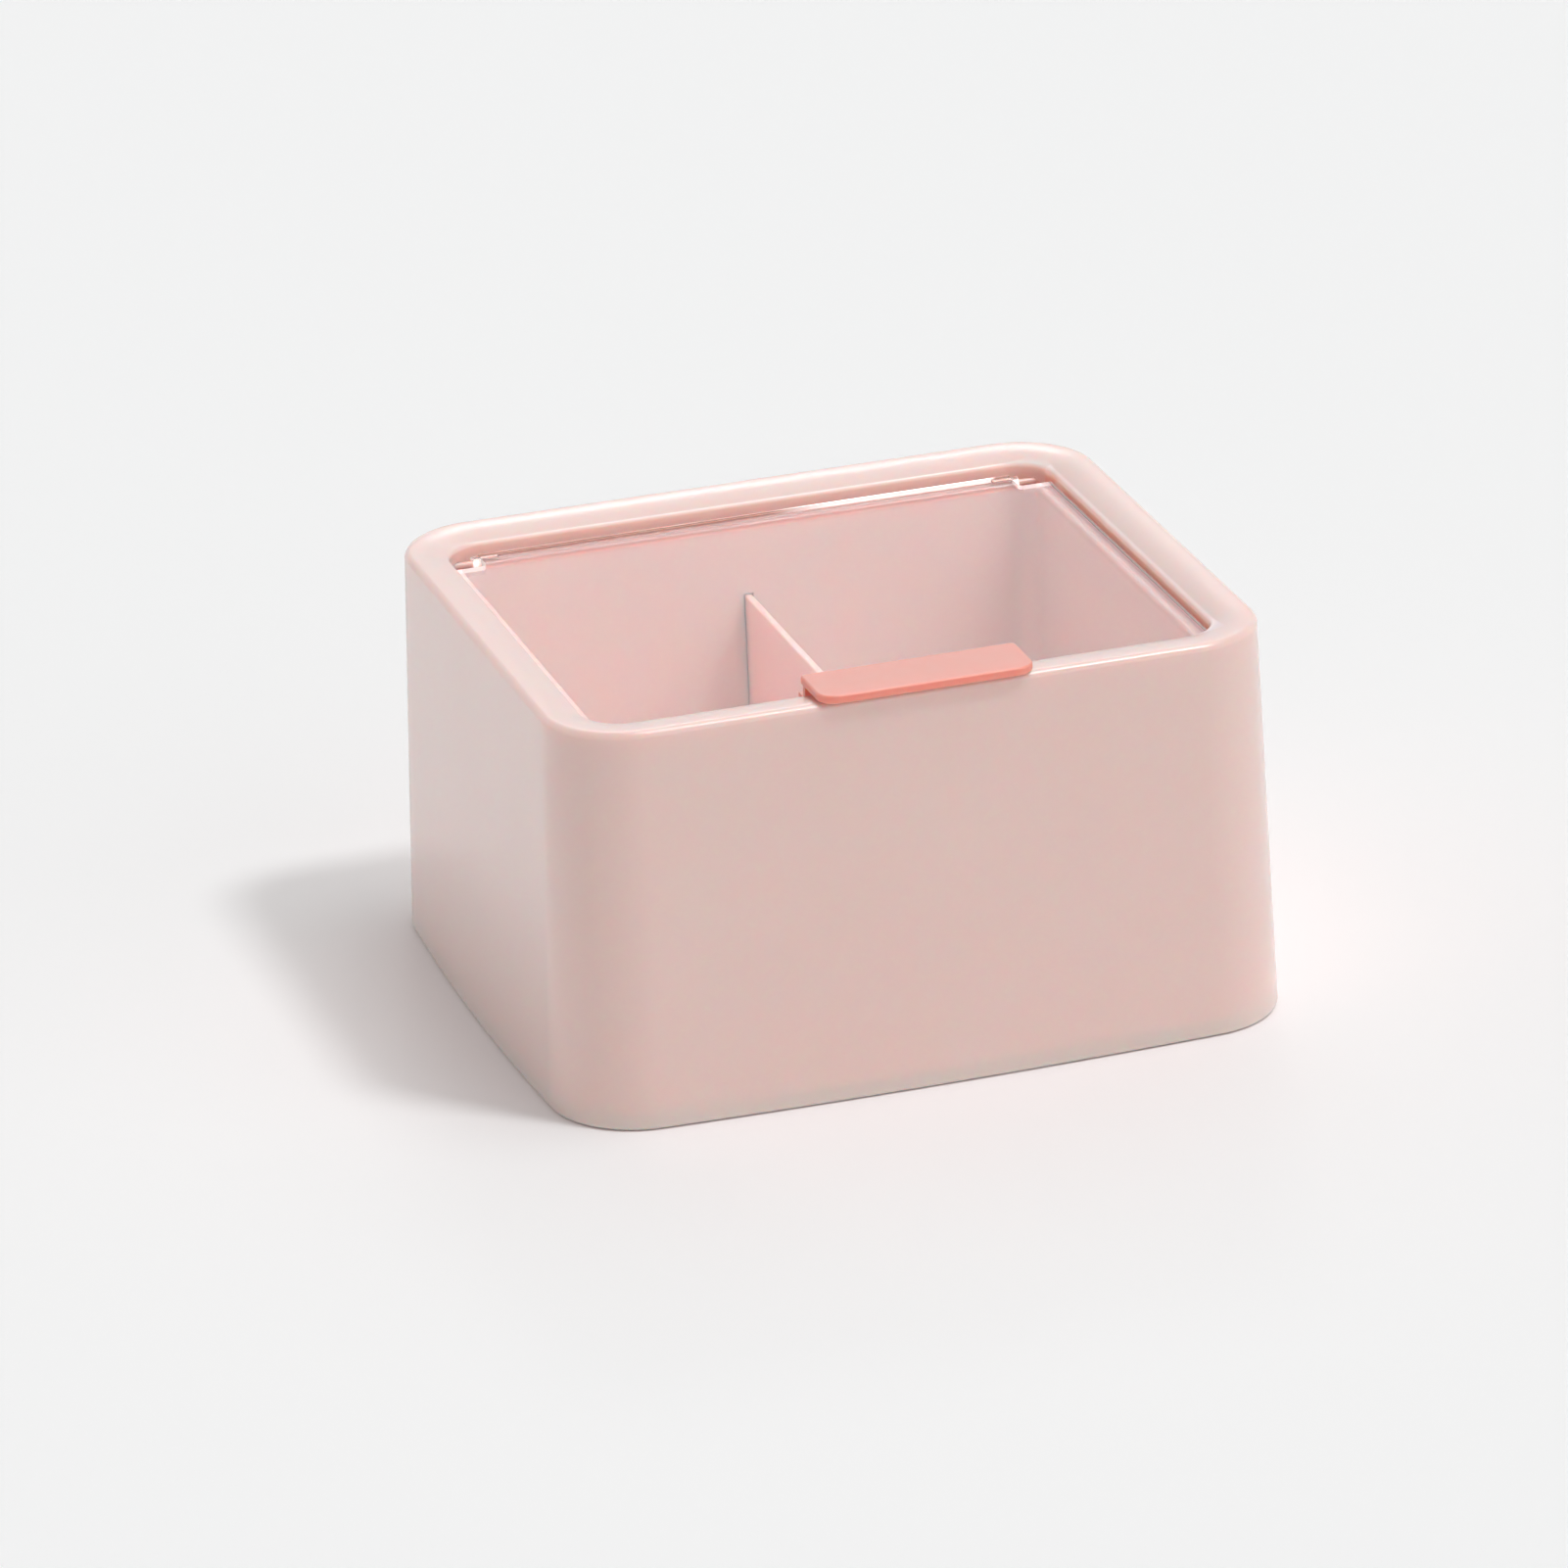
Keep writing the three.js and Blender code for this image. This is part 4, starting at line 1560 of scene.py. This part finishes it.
@dataclass
class InnerBin:
    """Tub with the ledge for the lid, the lower halves of the pin bearings, and the partition."""

    levels: Levels
    shell: OuterShell
    ledge_width: float = 3.0
    flange_thickness: float = 1.8
    wall: float = 1.8
    draft: float = 1.25
    floor_round: float = 3.0
    ledge_round: float = 0.8
    divider_thickness: float = 1.6
    divider_height: float = 55.9
    divider_offset: float = -0.7
    divider_grip: float = 0.6
    divider_round: float = 0.4

    def inside(self, height: float) -> RoundRectangle:
        """The bin's inside at a height, drawn in towards the floor by its draft.

        Args:
            height: The height.

        Returns:
            The outline.
        """
        levels = self.levels
        share = (levels.ledge_z - height) / (levels.ledge_z - levels.bin_floor_z)
        narrowing = 2 * (SEAT_GAP + self.ledge_width) + 2 * self.draft * share
        recess = levels.recess
        return RoundRectangle(
            recess.length - narrowing,
            recess.depth - narrowing,
            recess.radius - SEAT_GAP - self.ledge_width,
        )

    def ring(self, height: float, inset: float = 0.0) -> Ring:
        """The inside's ring at a height, drawn in by inset."""
        return self.inside(height).ring(height, inset)

    def tub(self) -> Form:
        """The tub with its flange, its rounded ledge and its rounded floor.

        Returns:
            The tub, still without bearings and grooves.
        """
        levels = self.levels
        ledge = levels.ledge_z
        under = ledge - self.flange_thickness
        bottom, lip, floor = [], [], []
        for out, up in quarter_round():
            foot_z = levels.bin_bottom + self.floor_round * (1 - up)
            bottom.insert(0, self.ring(foot_z, self.floor_round * out - self.wall))
            lip.insert(0, self.ring(ledge - self.ledge_round * (1 - up), -self.ledge_round * out))
            floor_z = levels.bin_floor_z + self.floor_round * (1 - up)
            floor.append(self.ring(floor_z, self.floor_round * out))
        outset = -self.shell.recess_wall
        return loft(
            [
                *bottom,
                self.ring(under, -self.wall),
                levels.recess.ring(under, outset),
                levels.recess.ring(ledge, outset),
                *lip,
                *floor,
            ]
        )

    def saddle(self, side: Side) -> Form:
        """The lower half of a pin bearing, on the flange.

        Args:
            side: Which end of the hinge.

        Returns:
            The form to add to the tub.
        """
        levels = self.levels
        inner = side.value * (levels.bearing_x - OVERRUN)
        outer = side.value * (levels.bearing_x + levels.recess.radius)
        half = self.shell.saddle_width / 2
        low = levels.ledge_z - self.flange_thickness / 2
        saddle = block(
            (min(inner, outer), levels.hinge_y - half, low),
            (max(inner, outer), levels.hinge_y + half, levels.hinge_z - SEAT_GAP),
        )
        outset = -self.shell.recess_wall
        flange = loft([levels.recess.ring(z, outset) for z in (low, levels.hinge_z)])
        saddle.join(flange, Join.KEEP)
        opening = loft([levels.recess.ring(z) for z in (levels.ledge_z, levels.hinge_z + OVERRUN)])
        saddle.join(opening, Join.CUT)
        bore = levels.hinge_bar(levels.pin_radius + PIN_GAP, inner, outer)
        return saddle.join(bore, Join.CUT)

    @property
    def divider_bottom(self) -> float:
        """Height of the partition's lower edge."""
        return self.levels.bin_floor_z + SEAT_GAP

    @property
    def divider_top(self) -> float:
        """Height of the partition's upper edge."""
        return self.divider_bottom + self.divider_height

    def divider_half(self, height: float) -> float:
        """Half of the partition's depth at a height, which follows the bin's draft."""
        return self.inside(height).depth / 2 + self.divider_grip

    def groove(self) -> Form:
        """The room that the partition takes up, with its clearance.

        Returns:
            The form to cut from the tub.
        """
        low = self.divider_bottom - SEAT_GAP
        high = self.divider_top + SEAT_GAP
        half_low, half_high = (self.divider_half(z) + SEAT_GAP for z in (low, high))
        profile = [(-half_low, low), (half_low, low), (half_high, high), (-half_high, high)]
        half = self.divider_thickness / 2 + SEAT_GAP
        return drawn_along_x(profile, self.divider_offset - half, self.divider_offset + half)

    def divider(self) -> Form:
        """The partition with its rounded upper edge.

        Returns:
            The partition.
        """
        half = self.divider_thickness / 2
        low, high, radius = self.divider_bottom, self.divider_top, self.divider_round
        section = [(-half, low), (half, low)]
        for out, up in quarter_round():
            section.append((half - radius * out, high - radius * (1 - up)))
        for out, up in reversed(quarter_round()):
            section.append((-half + radius * out, high - radius * (1 - up)))
        ends = []
        for sign in (-1, 1):
            places = [(self.divider_offset + x, sign * self.divider_half(z), z) for x, z in section]
            ends.append([Vector(place) for place in places])
        return loft(ends).faced_outwards()

    def build(self, finishes: Finishes) -> None:
        """Builds and dresses the bin and its partition.

        Args:
            finishes: The box's finishes.
        """
        tub = self.tub()
        for side in Side:
            tub.join(self.saddle(side), Join.ADD)
        tub.join(self.groove(), Join.CUT)
        bin_piece = tub.finished("bin_tub", finishes.pink)
        partition = self.divider().finished("partition", finishes.pink)
        placed(bin_piece, Body.BOX, Slot.PINK, "inner_bin")
        placed(partition, Body.BOX, Slot.PINK, "divider")


@dataclass
class LidAssembly:
    """Clear lid with its pull tab and hinge pins."""

    levels: Levels
    edge_round: float = 0.5
    lug_length: float = 1.6
    notch_depth: float = 6.0
    notch_corner: float = 1.2
    pin_hold: float = 5.5
    pin_reach: float = 2.2
    pin_bevel: float = 0.15
    tab_length: float = 45.2
    tab_overhang: float = 1.9
    tab_thickness: float = 1.8
    tab_corner: float = 3.8
    tab_rear_corner: float = 1.0
    tab_edge_round: float = 0.5
    tab_web: float = 1.2
    jaw_length: float = 3.0
    upper_jaw: float = 1.0

    @property
    def front(self) -> float:
        """Place of the lid's front edge along Y."""
        return -(self.levels.recess.depth / 2 - LID_GAP)

    @property
    def half_length(self) -> float:
        """Half of the lid's length."""
        return self.levels.recess.length / 2 - LID_GAP

    @property
    def web_rear(self) -> float:
        """Place of the tab web's rear face along Y."""
        return self.front + self.tab_web

    @property
    def lug_start(self) -> float:
        """Distance of the lugs' roots from the middle."""
        return self.levels.lug_end - self.lug_length

    def plan(self) -> RoundRectangle:
        """The plan of the lid, run past its rear, where its side view ends it.

        Returns:
            The outline.
        """
        recess = self.levels.recess
        reach = recess.depth + recess.radius
        return RoundRectangle(
            2 * self.half_length, reach, recess.radius - LID_GAP, centre_y=self.front + reach / 2
        )

    def plate(self) -> Form:
        """The lid's outer form, with rounded edges and a rear that turns clear of the ledge.

        Returns:
            The plate, still without cuts and lugs.
        """
        levels = self.levels
        low, high = levels.lid_bottom, levels.lid_top
        turn, edge = levels.hinge_round, self.edge_round
        plate = loft(rounded_slab(self.plan().ring, low, high, edge))
        front = self.front - OVERRUN
        edge_y = levels.hinge_y + turn - edge
        profile = [(front, low)]
        for out, up in reversed(quarter_round()):
            profile.append((levels.hinge_y + turn * (1 - out), low + turn * (1 - up)))
        for out, up in quarter_round():
            profile.append((edge_y + edge * (1 - out), high - edge * (1 - up)))
        profile.append((front, high))
        reach = self.half_length + OVERRUN
        return plate.join(drawn_along_x(profile, -reach, reach), Join.KEEP)

    def corner_notch(self, side: Side) -> Form:
        """The square cut at a rear corner, with a round inner corner.

        Args:
            side: Which end of the hinge.

        Returns:
            The form to cut from the plate.
        """
        levels = self.levels
        front = levels.hinge_y - self.notch_depth
        back = levels.hinge_y + levels.hinge_round + OVERRUN
        outer = self.half_length + OVERRUN
        inner, radius = self.lug_start, self.notch_corner
        outline = [(outer, front), (outer, back), (inner, back)]
        for out, up in quarter_round():
            outline.append((inner + radius * out, front + radius * (1 - up)))
        heights = (levels.lid_bottom - OVERRUN, levels.lid_top + OVERRUN)
        rings = [[Vector((side.value * x, y, z)) for x, y in outline] for z in heights]
        return loft(rings).faced_outwards()

    def tab_notches(self) -> list[Form]:
        """The cuts in the front edge that the tab's clip sits in.

        Returns:
            The forms to cut from the plate.
        """
        levels = self.levels
        half = self.tab_length / 2 + SEAT_GAP
        start = (-half, self.front - OVERRUN, levels.lid_bottom - OVERRUN)
        through_end = self.web_rear + SEAT_GAP
        under_end = self.web_rear + self.jaw_length + SEAT_GAP
        through = block(start, (half, through_end, levels.lid_top + OVERRUN))
        under = block(start, (half, under_end, levels.tongue_bottom))
        return [through, under]

    def lid(self) -> Form:
        """The clear lid with its lugs and pin bores.

        Returns:
            The lid.
        """
        levels = self.levels
        lid = self.plate()
        for notch in self.tab_notches():
            lid.join(notch, Join.CUT)
        for side in Side:
            lid.join(self.corner_notch(side), Join.CUT)
            root = side.value * (self.lug_start - self.lug_length)
            end = side.value * levels.lug_end
            lid.join(levels.hinge_bar(levels.lug_radius, root, end), Join.ADD)
            bore_start = side.value * (levels.lug_end - self.pin_hold - PIN_GAP)
            bore_end = side.value * (levels.lug_end + OVERRUN)
            bore = levels.hinge_bar(levels.pin_radius + PIN_GAP, bore_start, bore_end)
            lid.join(bore, Join.CUT)
        return lid

    def pin(self, side: Side) -> Form:
        """A hinge pin with bevelled ends.

        Args:
            side: Which end of the hinge.

        Returns:
            The pin on the hinge axis.
        """
        levels = self.levels
        start = levels.lug_end - self.pin_hold
        end = levels.bearing_x + self.pin_reach
        radius, bevel = levels.pin_radius, self.pin_bevel
        thin = radius - bevel
        pin = turned([(thin, start), (radius, start + bevel), (radius, end - bevel), (thin, end)])
        pin.piece.data.transform(Matrix.Rotation(side.value * QUARTER_TURN, 4, "Y"))
        return moved(pin, 0.0, levels.hinge_y, levels.hinge_z)

    def tab_ring(self, height: float, inset: float) -> Ring:
        """The tab plate's outline at a height: small corners behind and large ones in front.

        Args:
            height: The outline's height.
            inset: How far it is drawn in.

        Returns:
            The outline's points, anticlockwise seen from above.
        """
        front = -(self.levels.rim_depth / 2 + self.tab_overhang)
        rear = self.web_rear + self.tab_edge_round
        half = self.tab_length / 2
        points = []
        for quarter in range(4):
            radius = self.tab_rear_corner if quarter < 2 else self.tab_corner
            sign_x = 1 if quarter in (0, 3) else -1
            centre_x = sign_x * (half - radius)
            centre_y = rear - radius if quarter < 2 else front + radius
            for step in range(FILLET_STEPS + 1):
                angle = QUARTER_TURN * (quarter + step / FILLET_STEPS)
                x = centre_x + (radius - inset) * math.cos(angle)
                y = centre_y + (radius - inset) * math.sin(angle)
                points.append(Vector((x, y, height)))
        return points

    def tab(self) -> Form:
        """The tab: a bevelled plate over the rim, on a web that clips on the lid's panel.

        Returns:
            The tab.
        """
        levels = self.levels
        bottom = levels.body_height + SEAT_GAP
        edge = self.tab_edge_round
        rings = rounded_slab(self.tab_ring, bottom, bottom + self.tab_thickness, edge)
        jaw_end = self.web_rear + self.jaw_length
        lower_jaw_top = levels.tongue_bottom - SEAT_GAP
        upper_jaw_bottom = levels.lid_top + SEAT_GAP
        upper_jaw_top = upper_jaw_bottom + self.upper_jaw
        middle = bottom + self.tab_thickness / 2
        clip = [
            (self.front, levels.lid_bottom),
            (jaw_end, levels.lid_bottom),
            (jaw_end, lower_jaw_top),
            (self.web_rear, lower_jaw_top),
            (self.web_rear, upper_jaw_bottom),
            (jaw_end, upper_jaw_bottom),
            (jaw_end, upper_jaw_top),
            (self.web_rear, upper_jaw_top),
            (self.web_rear, middle),
            (self.front, middle),
        ]
        half = self.tab_length / 2 - edge
        return loft(rings).join(drawn_along_x(clip, -half, half), Join.ADD)

    def build(self, finishes: Finishes) -> None:
        """Builds and dresses the lid, the tab and the pins.

        Args:
            finishes: The box's finishes.
        """
        lid = self.lid().finished("lid_panel", finishes.clear)
        tab = self.tab().finished("tab_plate", finishes.coral)
        placed(lid, Body.LID, Slot.CLEAR, "lid")
        placed(tab, Body.LID, Slot.CORAL, "pull_tab")
        for side in Side:
            name = side.name.lower()
            pin = self.pin(side).finished(f"pin_{name}", finishes.pink)
            placed(pin, Body.LID, Slot.PINK, f"hinge_pin_{name}")


@dataclass
class Base:
    """Cover that closes the double wall, with its screws and foot pads."""

    levels: Levels
    shell: OuterShell
    bin: InnerBin
    socket_height: float = 4.0
    socket_wall: float = 1.4
    pad_radius: float = 6.0
    pad_inset: float = 19.0
    pad_well: float = 1.0
    pad_round: float = 0.3
    shank_length: float = 10.0
    screw_tip: float = 1.2
    tip_radius: float = 0.2
    cross_width: float = 0.6
    cross_span: float = 3.0
    cross_depth: float = 0.8

    def pad_place(self, corner: Corner) -> tuple[float, float]:
        """Place of a foot pad.

        Args:
            corner: Which corner of the box.

        Returns:
            The place along X and Y.
        """
        x = self.levels.rim_length / 2 - self.pad_inset
        y = self.levels.rim_depth / 2 - self.pad_inset
        return corner.value[0] * x, corner.value[1] * y

    def socket(self) -> Form:
        """The rib round the bin's foot.

        Returns:
            The form to add to the cover.
        """
        low = self.levels.cover_top - self.levels.cover_thickness / 2
        high = self.levels.cover_top + self.socket_height
        inside = self.bin.wall + SEAT_GAP
        outside = inside + self.socket_wall
        rings = [
            self.bin.ring(low, -outside),
            self.bin.ring(high, -outside),
            self.bin.ring(high, -inside),
            self.bin.ring(low, -inside),
        ]
        return loft(rings, capped=False)

    def cover(self) -> Form:
        """The plate with its socket, screw cups and pad wells.

        Returns:
            The cover.
        """
        levels, shell = self.levels, self.shell
        low = levels.cover_bottom
        inset = shell.wall - shell.cover_rabbet + SEAT_GAP
        cover = loft([shell.body_ring(z, inset) for z in (low, levels.cover_top)])
        cover.join(self.socket(), Join.ADD)
        for corner in Corner:
            x, y = shell.screw_place(corner)
            cover.join(column(x, y, shell.cup_radius, low, levels.cup_top), Join.ADD)
            for radius, start, end in (
                (shell.head_radius, low - OVERRUN, levels.head_top + SEAT_GAP),
                (shell.shank_radius, low, levels.cup_top + OVERRUN),
            ):
                cover.join(column(x, y, radius + SEAT_GAP, start, end), Join.CUT)
            x, y = self.pad_place(corner)
            well = column(x, y, self.pad_radius + SEAT_GAP, low - OVERRUN, low + self.pad_well)
            cover.join(well, Join.CUT)
        return cover

    def pad(self, corner: Corner) -> Form:
        """A silicone pad with a rounded lower edge.

        Args:
            corner: Which corner of the box.

        Returns:
            The pad in its place.
        """
        profile = [
            (self.pad_radius - self.pad_round * out, self.pad_round * (1 - up))
            for out, up in reversed(quarter_round())
        ]
        profile.append((self.pad_radius, self.levels.cover_bottom + self.pad_well - SEAT_GAP))
        return moved(turned(profile), *self.pad_place(corner))

    def screw(self, corner: Corner) -> Form:
        """A pan head screw with a cross recess.

        Args:
            corner: Which corner of the box.

        Returns:
            The screw in its place.
        """
        head_radius, shank_radius = self.shell.head_radius, self.shell.shank_radius
        head_height = self.levels.head_height
        dome = head_height / 2
        tip = head_height + self.shank_length
        profile = []
        for out, up in reversed(quarter_round()):
            profile.append((head_radius - dome * out, dome * (1 - up)))
        profile += [
            (head_radius, head_height),
            (shank_radius, head_height),
            (shank_radius, tip - self.screw_tip),
            (self.tip_radius, tip),
        ]
        screw = turned(profile)
        long, short = self.cross_span / 2, self.cross_width / 2
        for x, y in ((long, short), (short, long)):
            screw.join(block((-x, -y, -OVERRUN), (x, y, self.cross_depth)), Join.CUT)
        return moved(screw, *self.shell.screw_place(corner), self.levels.cover_bottom)

    def build(self, finishes: Finishes) -> None:
        """Builds and dresses the cover, the screws and the pads.

        Args:
            finishes: The box's finishes.
        """
        cover = self.cover().finished("cover_plate", finishes.pink)
        placed(cover, Body.BOX, Slot.PINK, "base_cover")
        for corner in Corner:
            name = corner.suffix
            screw = self.screw(corner).finished(f"screw_{name}", finishes.steel)
            placed(screw, Body.BOX, Slot.STEEL, f"base_screw_{name}")
            pad = self.pad(corner).finished(f"pad_{name}", finishes.silicone)
            placed(pad, Body.BOX, Slot.SILICONE, f"foot_pad_{name}")


# The studio


@dataclass(frozen=True)
class SoftSun:
    """A lamp far away. Its spread is the angle that it fills, which softens its shadows."""

    name: str
    travel: Triple
    strength: float
    spread_degrees: float

    def build(self) -> None:
        """Hangs the lamp."""
        sun = bpy.data.lights.new(self.name, "SUN")
        sun.energy = self.strength
        sun.angle = math.radians(self.spread_degrees)
        holder = bpy.data.objects.new(self.name, sun)
        holder.rotation_mode = "QUATERNION"
        holder.rotation_quaternion = Vector(self.travel).to_track_quat("-Z", "Y")
        bpy.context.scene.collection.objects.link(holder)


@dataclass(frozen=True)
class Studio:
    """Pale floor, soft light and the camera at the photograph's angle. Lengths are in metres."""

    floor_half_size: float = 6.0
    floor_tone: Triple = (0.982, 0.986, 0.990)
    floor_roughness: float = 0.85
    floor_gloss: float = 0.2
    floor_lift: float = 0.012
    sky_light: float = 0.42
    sky_light_tone: Triple = (0.912, 0.906, 0.896)
    sky_tone: Triple = (0.968, 0.968, 0.975)
    lamps: tuple[SoftSun, ...] = (
        SoftSun("key", (-0.42, 0.34, -1.0), 0.88, 9.0),
        SoftSun("front_fill", (-0.55, 0.80, -0.40), 0.40, 60.0),
        SoftSun("side_fill", (0.85, -0.45, -0.30), 0.28, 60.0),
        SoftSun("top_fill", (-0.29, 0.05, -1.0), 0.44, 22.0),
        SoftSun("rear_fill", (-0.25, -0.58, -0.80), 0.35, 48.0),
        SoftSun("rear_glint", (-0.26, -0.83, -0.57), 0.10, 10.0),
    )
    camera_place: Triple = (-0.53071, -1.67169, 0.75477)
    camera_back: Triple = (-0.2752, -0.8842, 0.3775)
    camera_right: Triple = (0.9497, -0.3112, -0.0365)
    camera_range: tuple[float, float] = (0.1, 50.0)
    lens_mm: float = 211.52
    sensor_mm: float = 36.0

    def floor(self) -> None:
        """Lays a wide matt floor, which the camera sees a little paler than it is."""
        half = self.floor_half_size
        mesh = bpy.data.meshes.new("floor")
        corners = [(-half, -half, 0), (half, -half, 0), (half, half, 0), (-half, half, 0)]
        mesh.from_pydata(corners, [], [(0, 1, 2, 3)])
        material, sheet, shader, output = started("floor")
        with_values(
            shader,
            {
                "Base Color": linear(self.floor_tone),
                "Roughness": self.floor_roughness,
                "Specular IOR Level": self.floor_gloss,
            },
        )
        lift = sheet.add("ShaderNodeEmission")
        lifted = sheet.maths("MULTIPLY", sheet.looked_at(), self.floor_lift)
        sheet.link(lifted, lift.inputs["Strength"])
        both = sheet.add("ShaderNodeAddShader")
        sheet.link(shader.outputs[0], both.inputs[0])
        sheet.link(lift.outputs[0], both.inputs[1])
        sheet.link(both.outputs[0], output.inputs["Surface"])
        mesh.materials.append(material)
        floor = bpy.data.objects.new("floor", mesh)
        bpy.context.scene.collection.objects.link(floor)

    def sky(self) -> None:
        """Sets even light from all round, in front of which the camera sees a pale backdrop."""
        world = bpy.data.worlds.new("studio")
        bpy.context.scene.world = world
        world.use_nodes = True
        world.node_tree.nodes.clear()
        sheet = NodeSheet(world.node_tree)
        light, seen = (
            with_values(
                sheet.add("ShaderNodeBackground"), {"Color": linear(tone), "Strength": strength}
            )
            for tone, strength in ((self.sky_light_tone, self.sky_light), (self.sky_tone, 1.0))
        )
        mix = sheet.add("ShaderNodeMixShader")
        output = sheet.add("ShaderNodeOutputWorld")
        sheet.link(sheet.looked_at(), mix.inputs[0])
        sheet.link(light.outputs[0], mix.inputs[1])
        sheet.link(seen.outputs[0], mix.inputs[2])
        sheet.link(mix.outputs[0], output.inputs["Surface"])

    def camera(self) -> None:
        """Sets the camera at the photograph's place, angle and lens."""
        data = bpy.data.cameras.new("camera")
        data.sensor_width = self.sensor_mm
        data.lens = self.lens_mm
        data.clip_start, data.clip_end = self.camera_range
        camera = bpy.data.objects.new("camera", data)
        back, right = Vector(self.camera_back), Vector(self.camera_right)
        turn = Matrix((right, back.cross(right), back)).transposed().to_4x4()
        camera.matrix_world = Matrix.Translation(self.camera_place) @ turn
        bpy.context.scene.collection.objects.link(camera)
        bpy.context.scene.camera = camera

    def build(self) -> None:
        """Sets the whole studio."""
        bpy.context.scene.view_settings.view_transform = "Standard"
        self.floor()
        self.sky()
        for lamp in self.lamps:
            lamp.build()
        self.camera()
        log.info("studio set")


def main() -> None:
    """Builds the box and the studio in order."""
    logging.basicConfig(level=logging.INFO, format="%(message)s")
    finishes = all_finishes()
    levels = Levels()
    shell = OuterShell(levels)
    inner_bin = InnerBin(levels, shell)
    shell.build(finishes)
    inner_bin.build(finishes)
    LidAssembly(levels).build(finishes)
    Base(levels, shell, inner_bin).build(finishes)
    Studio().build()


if __name__ == "__main__":
    main()
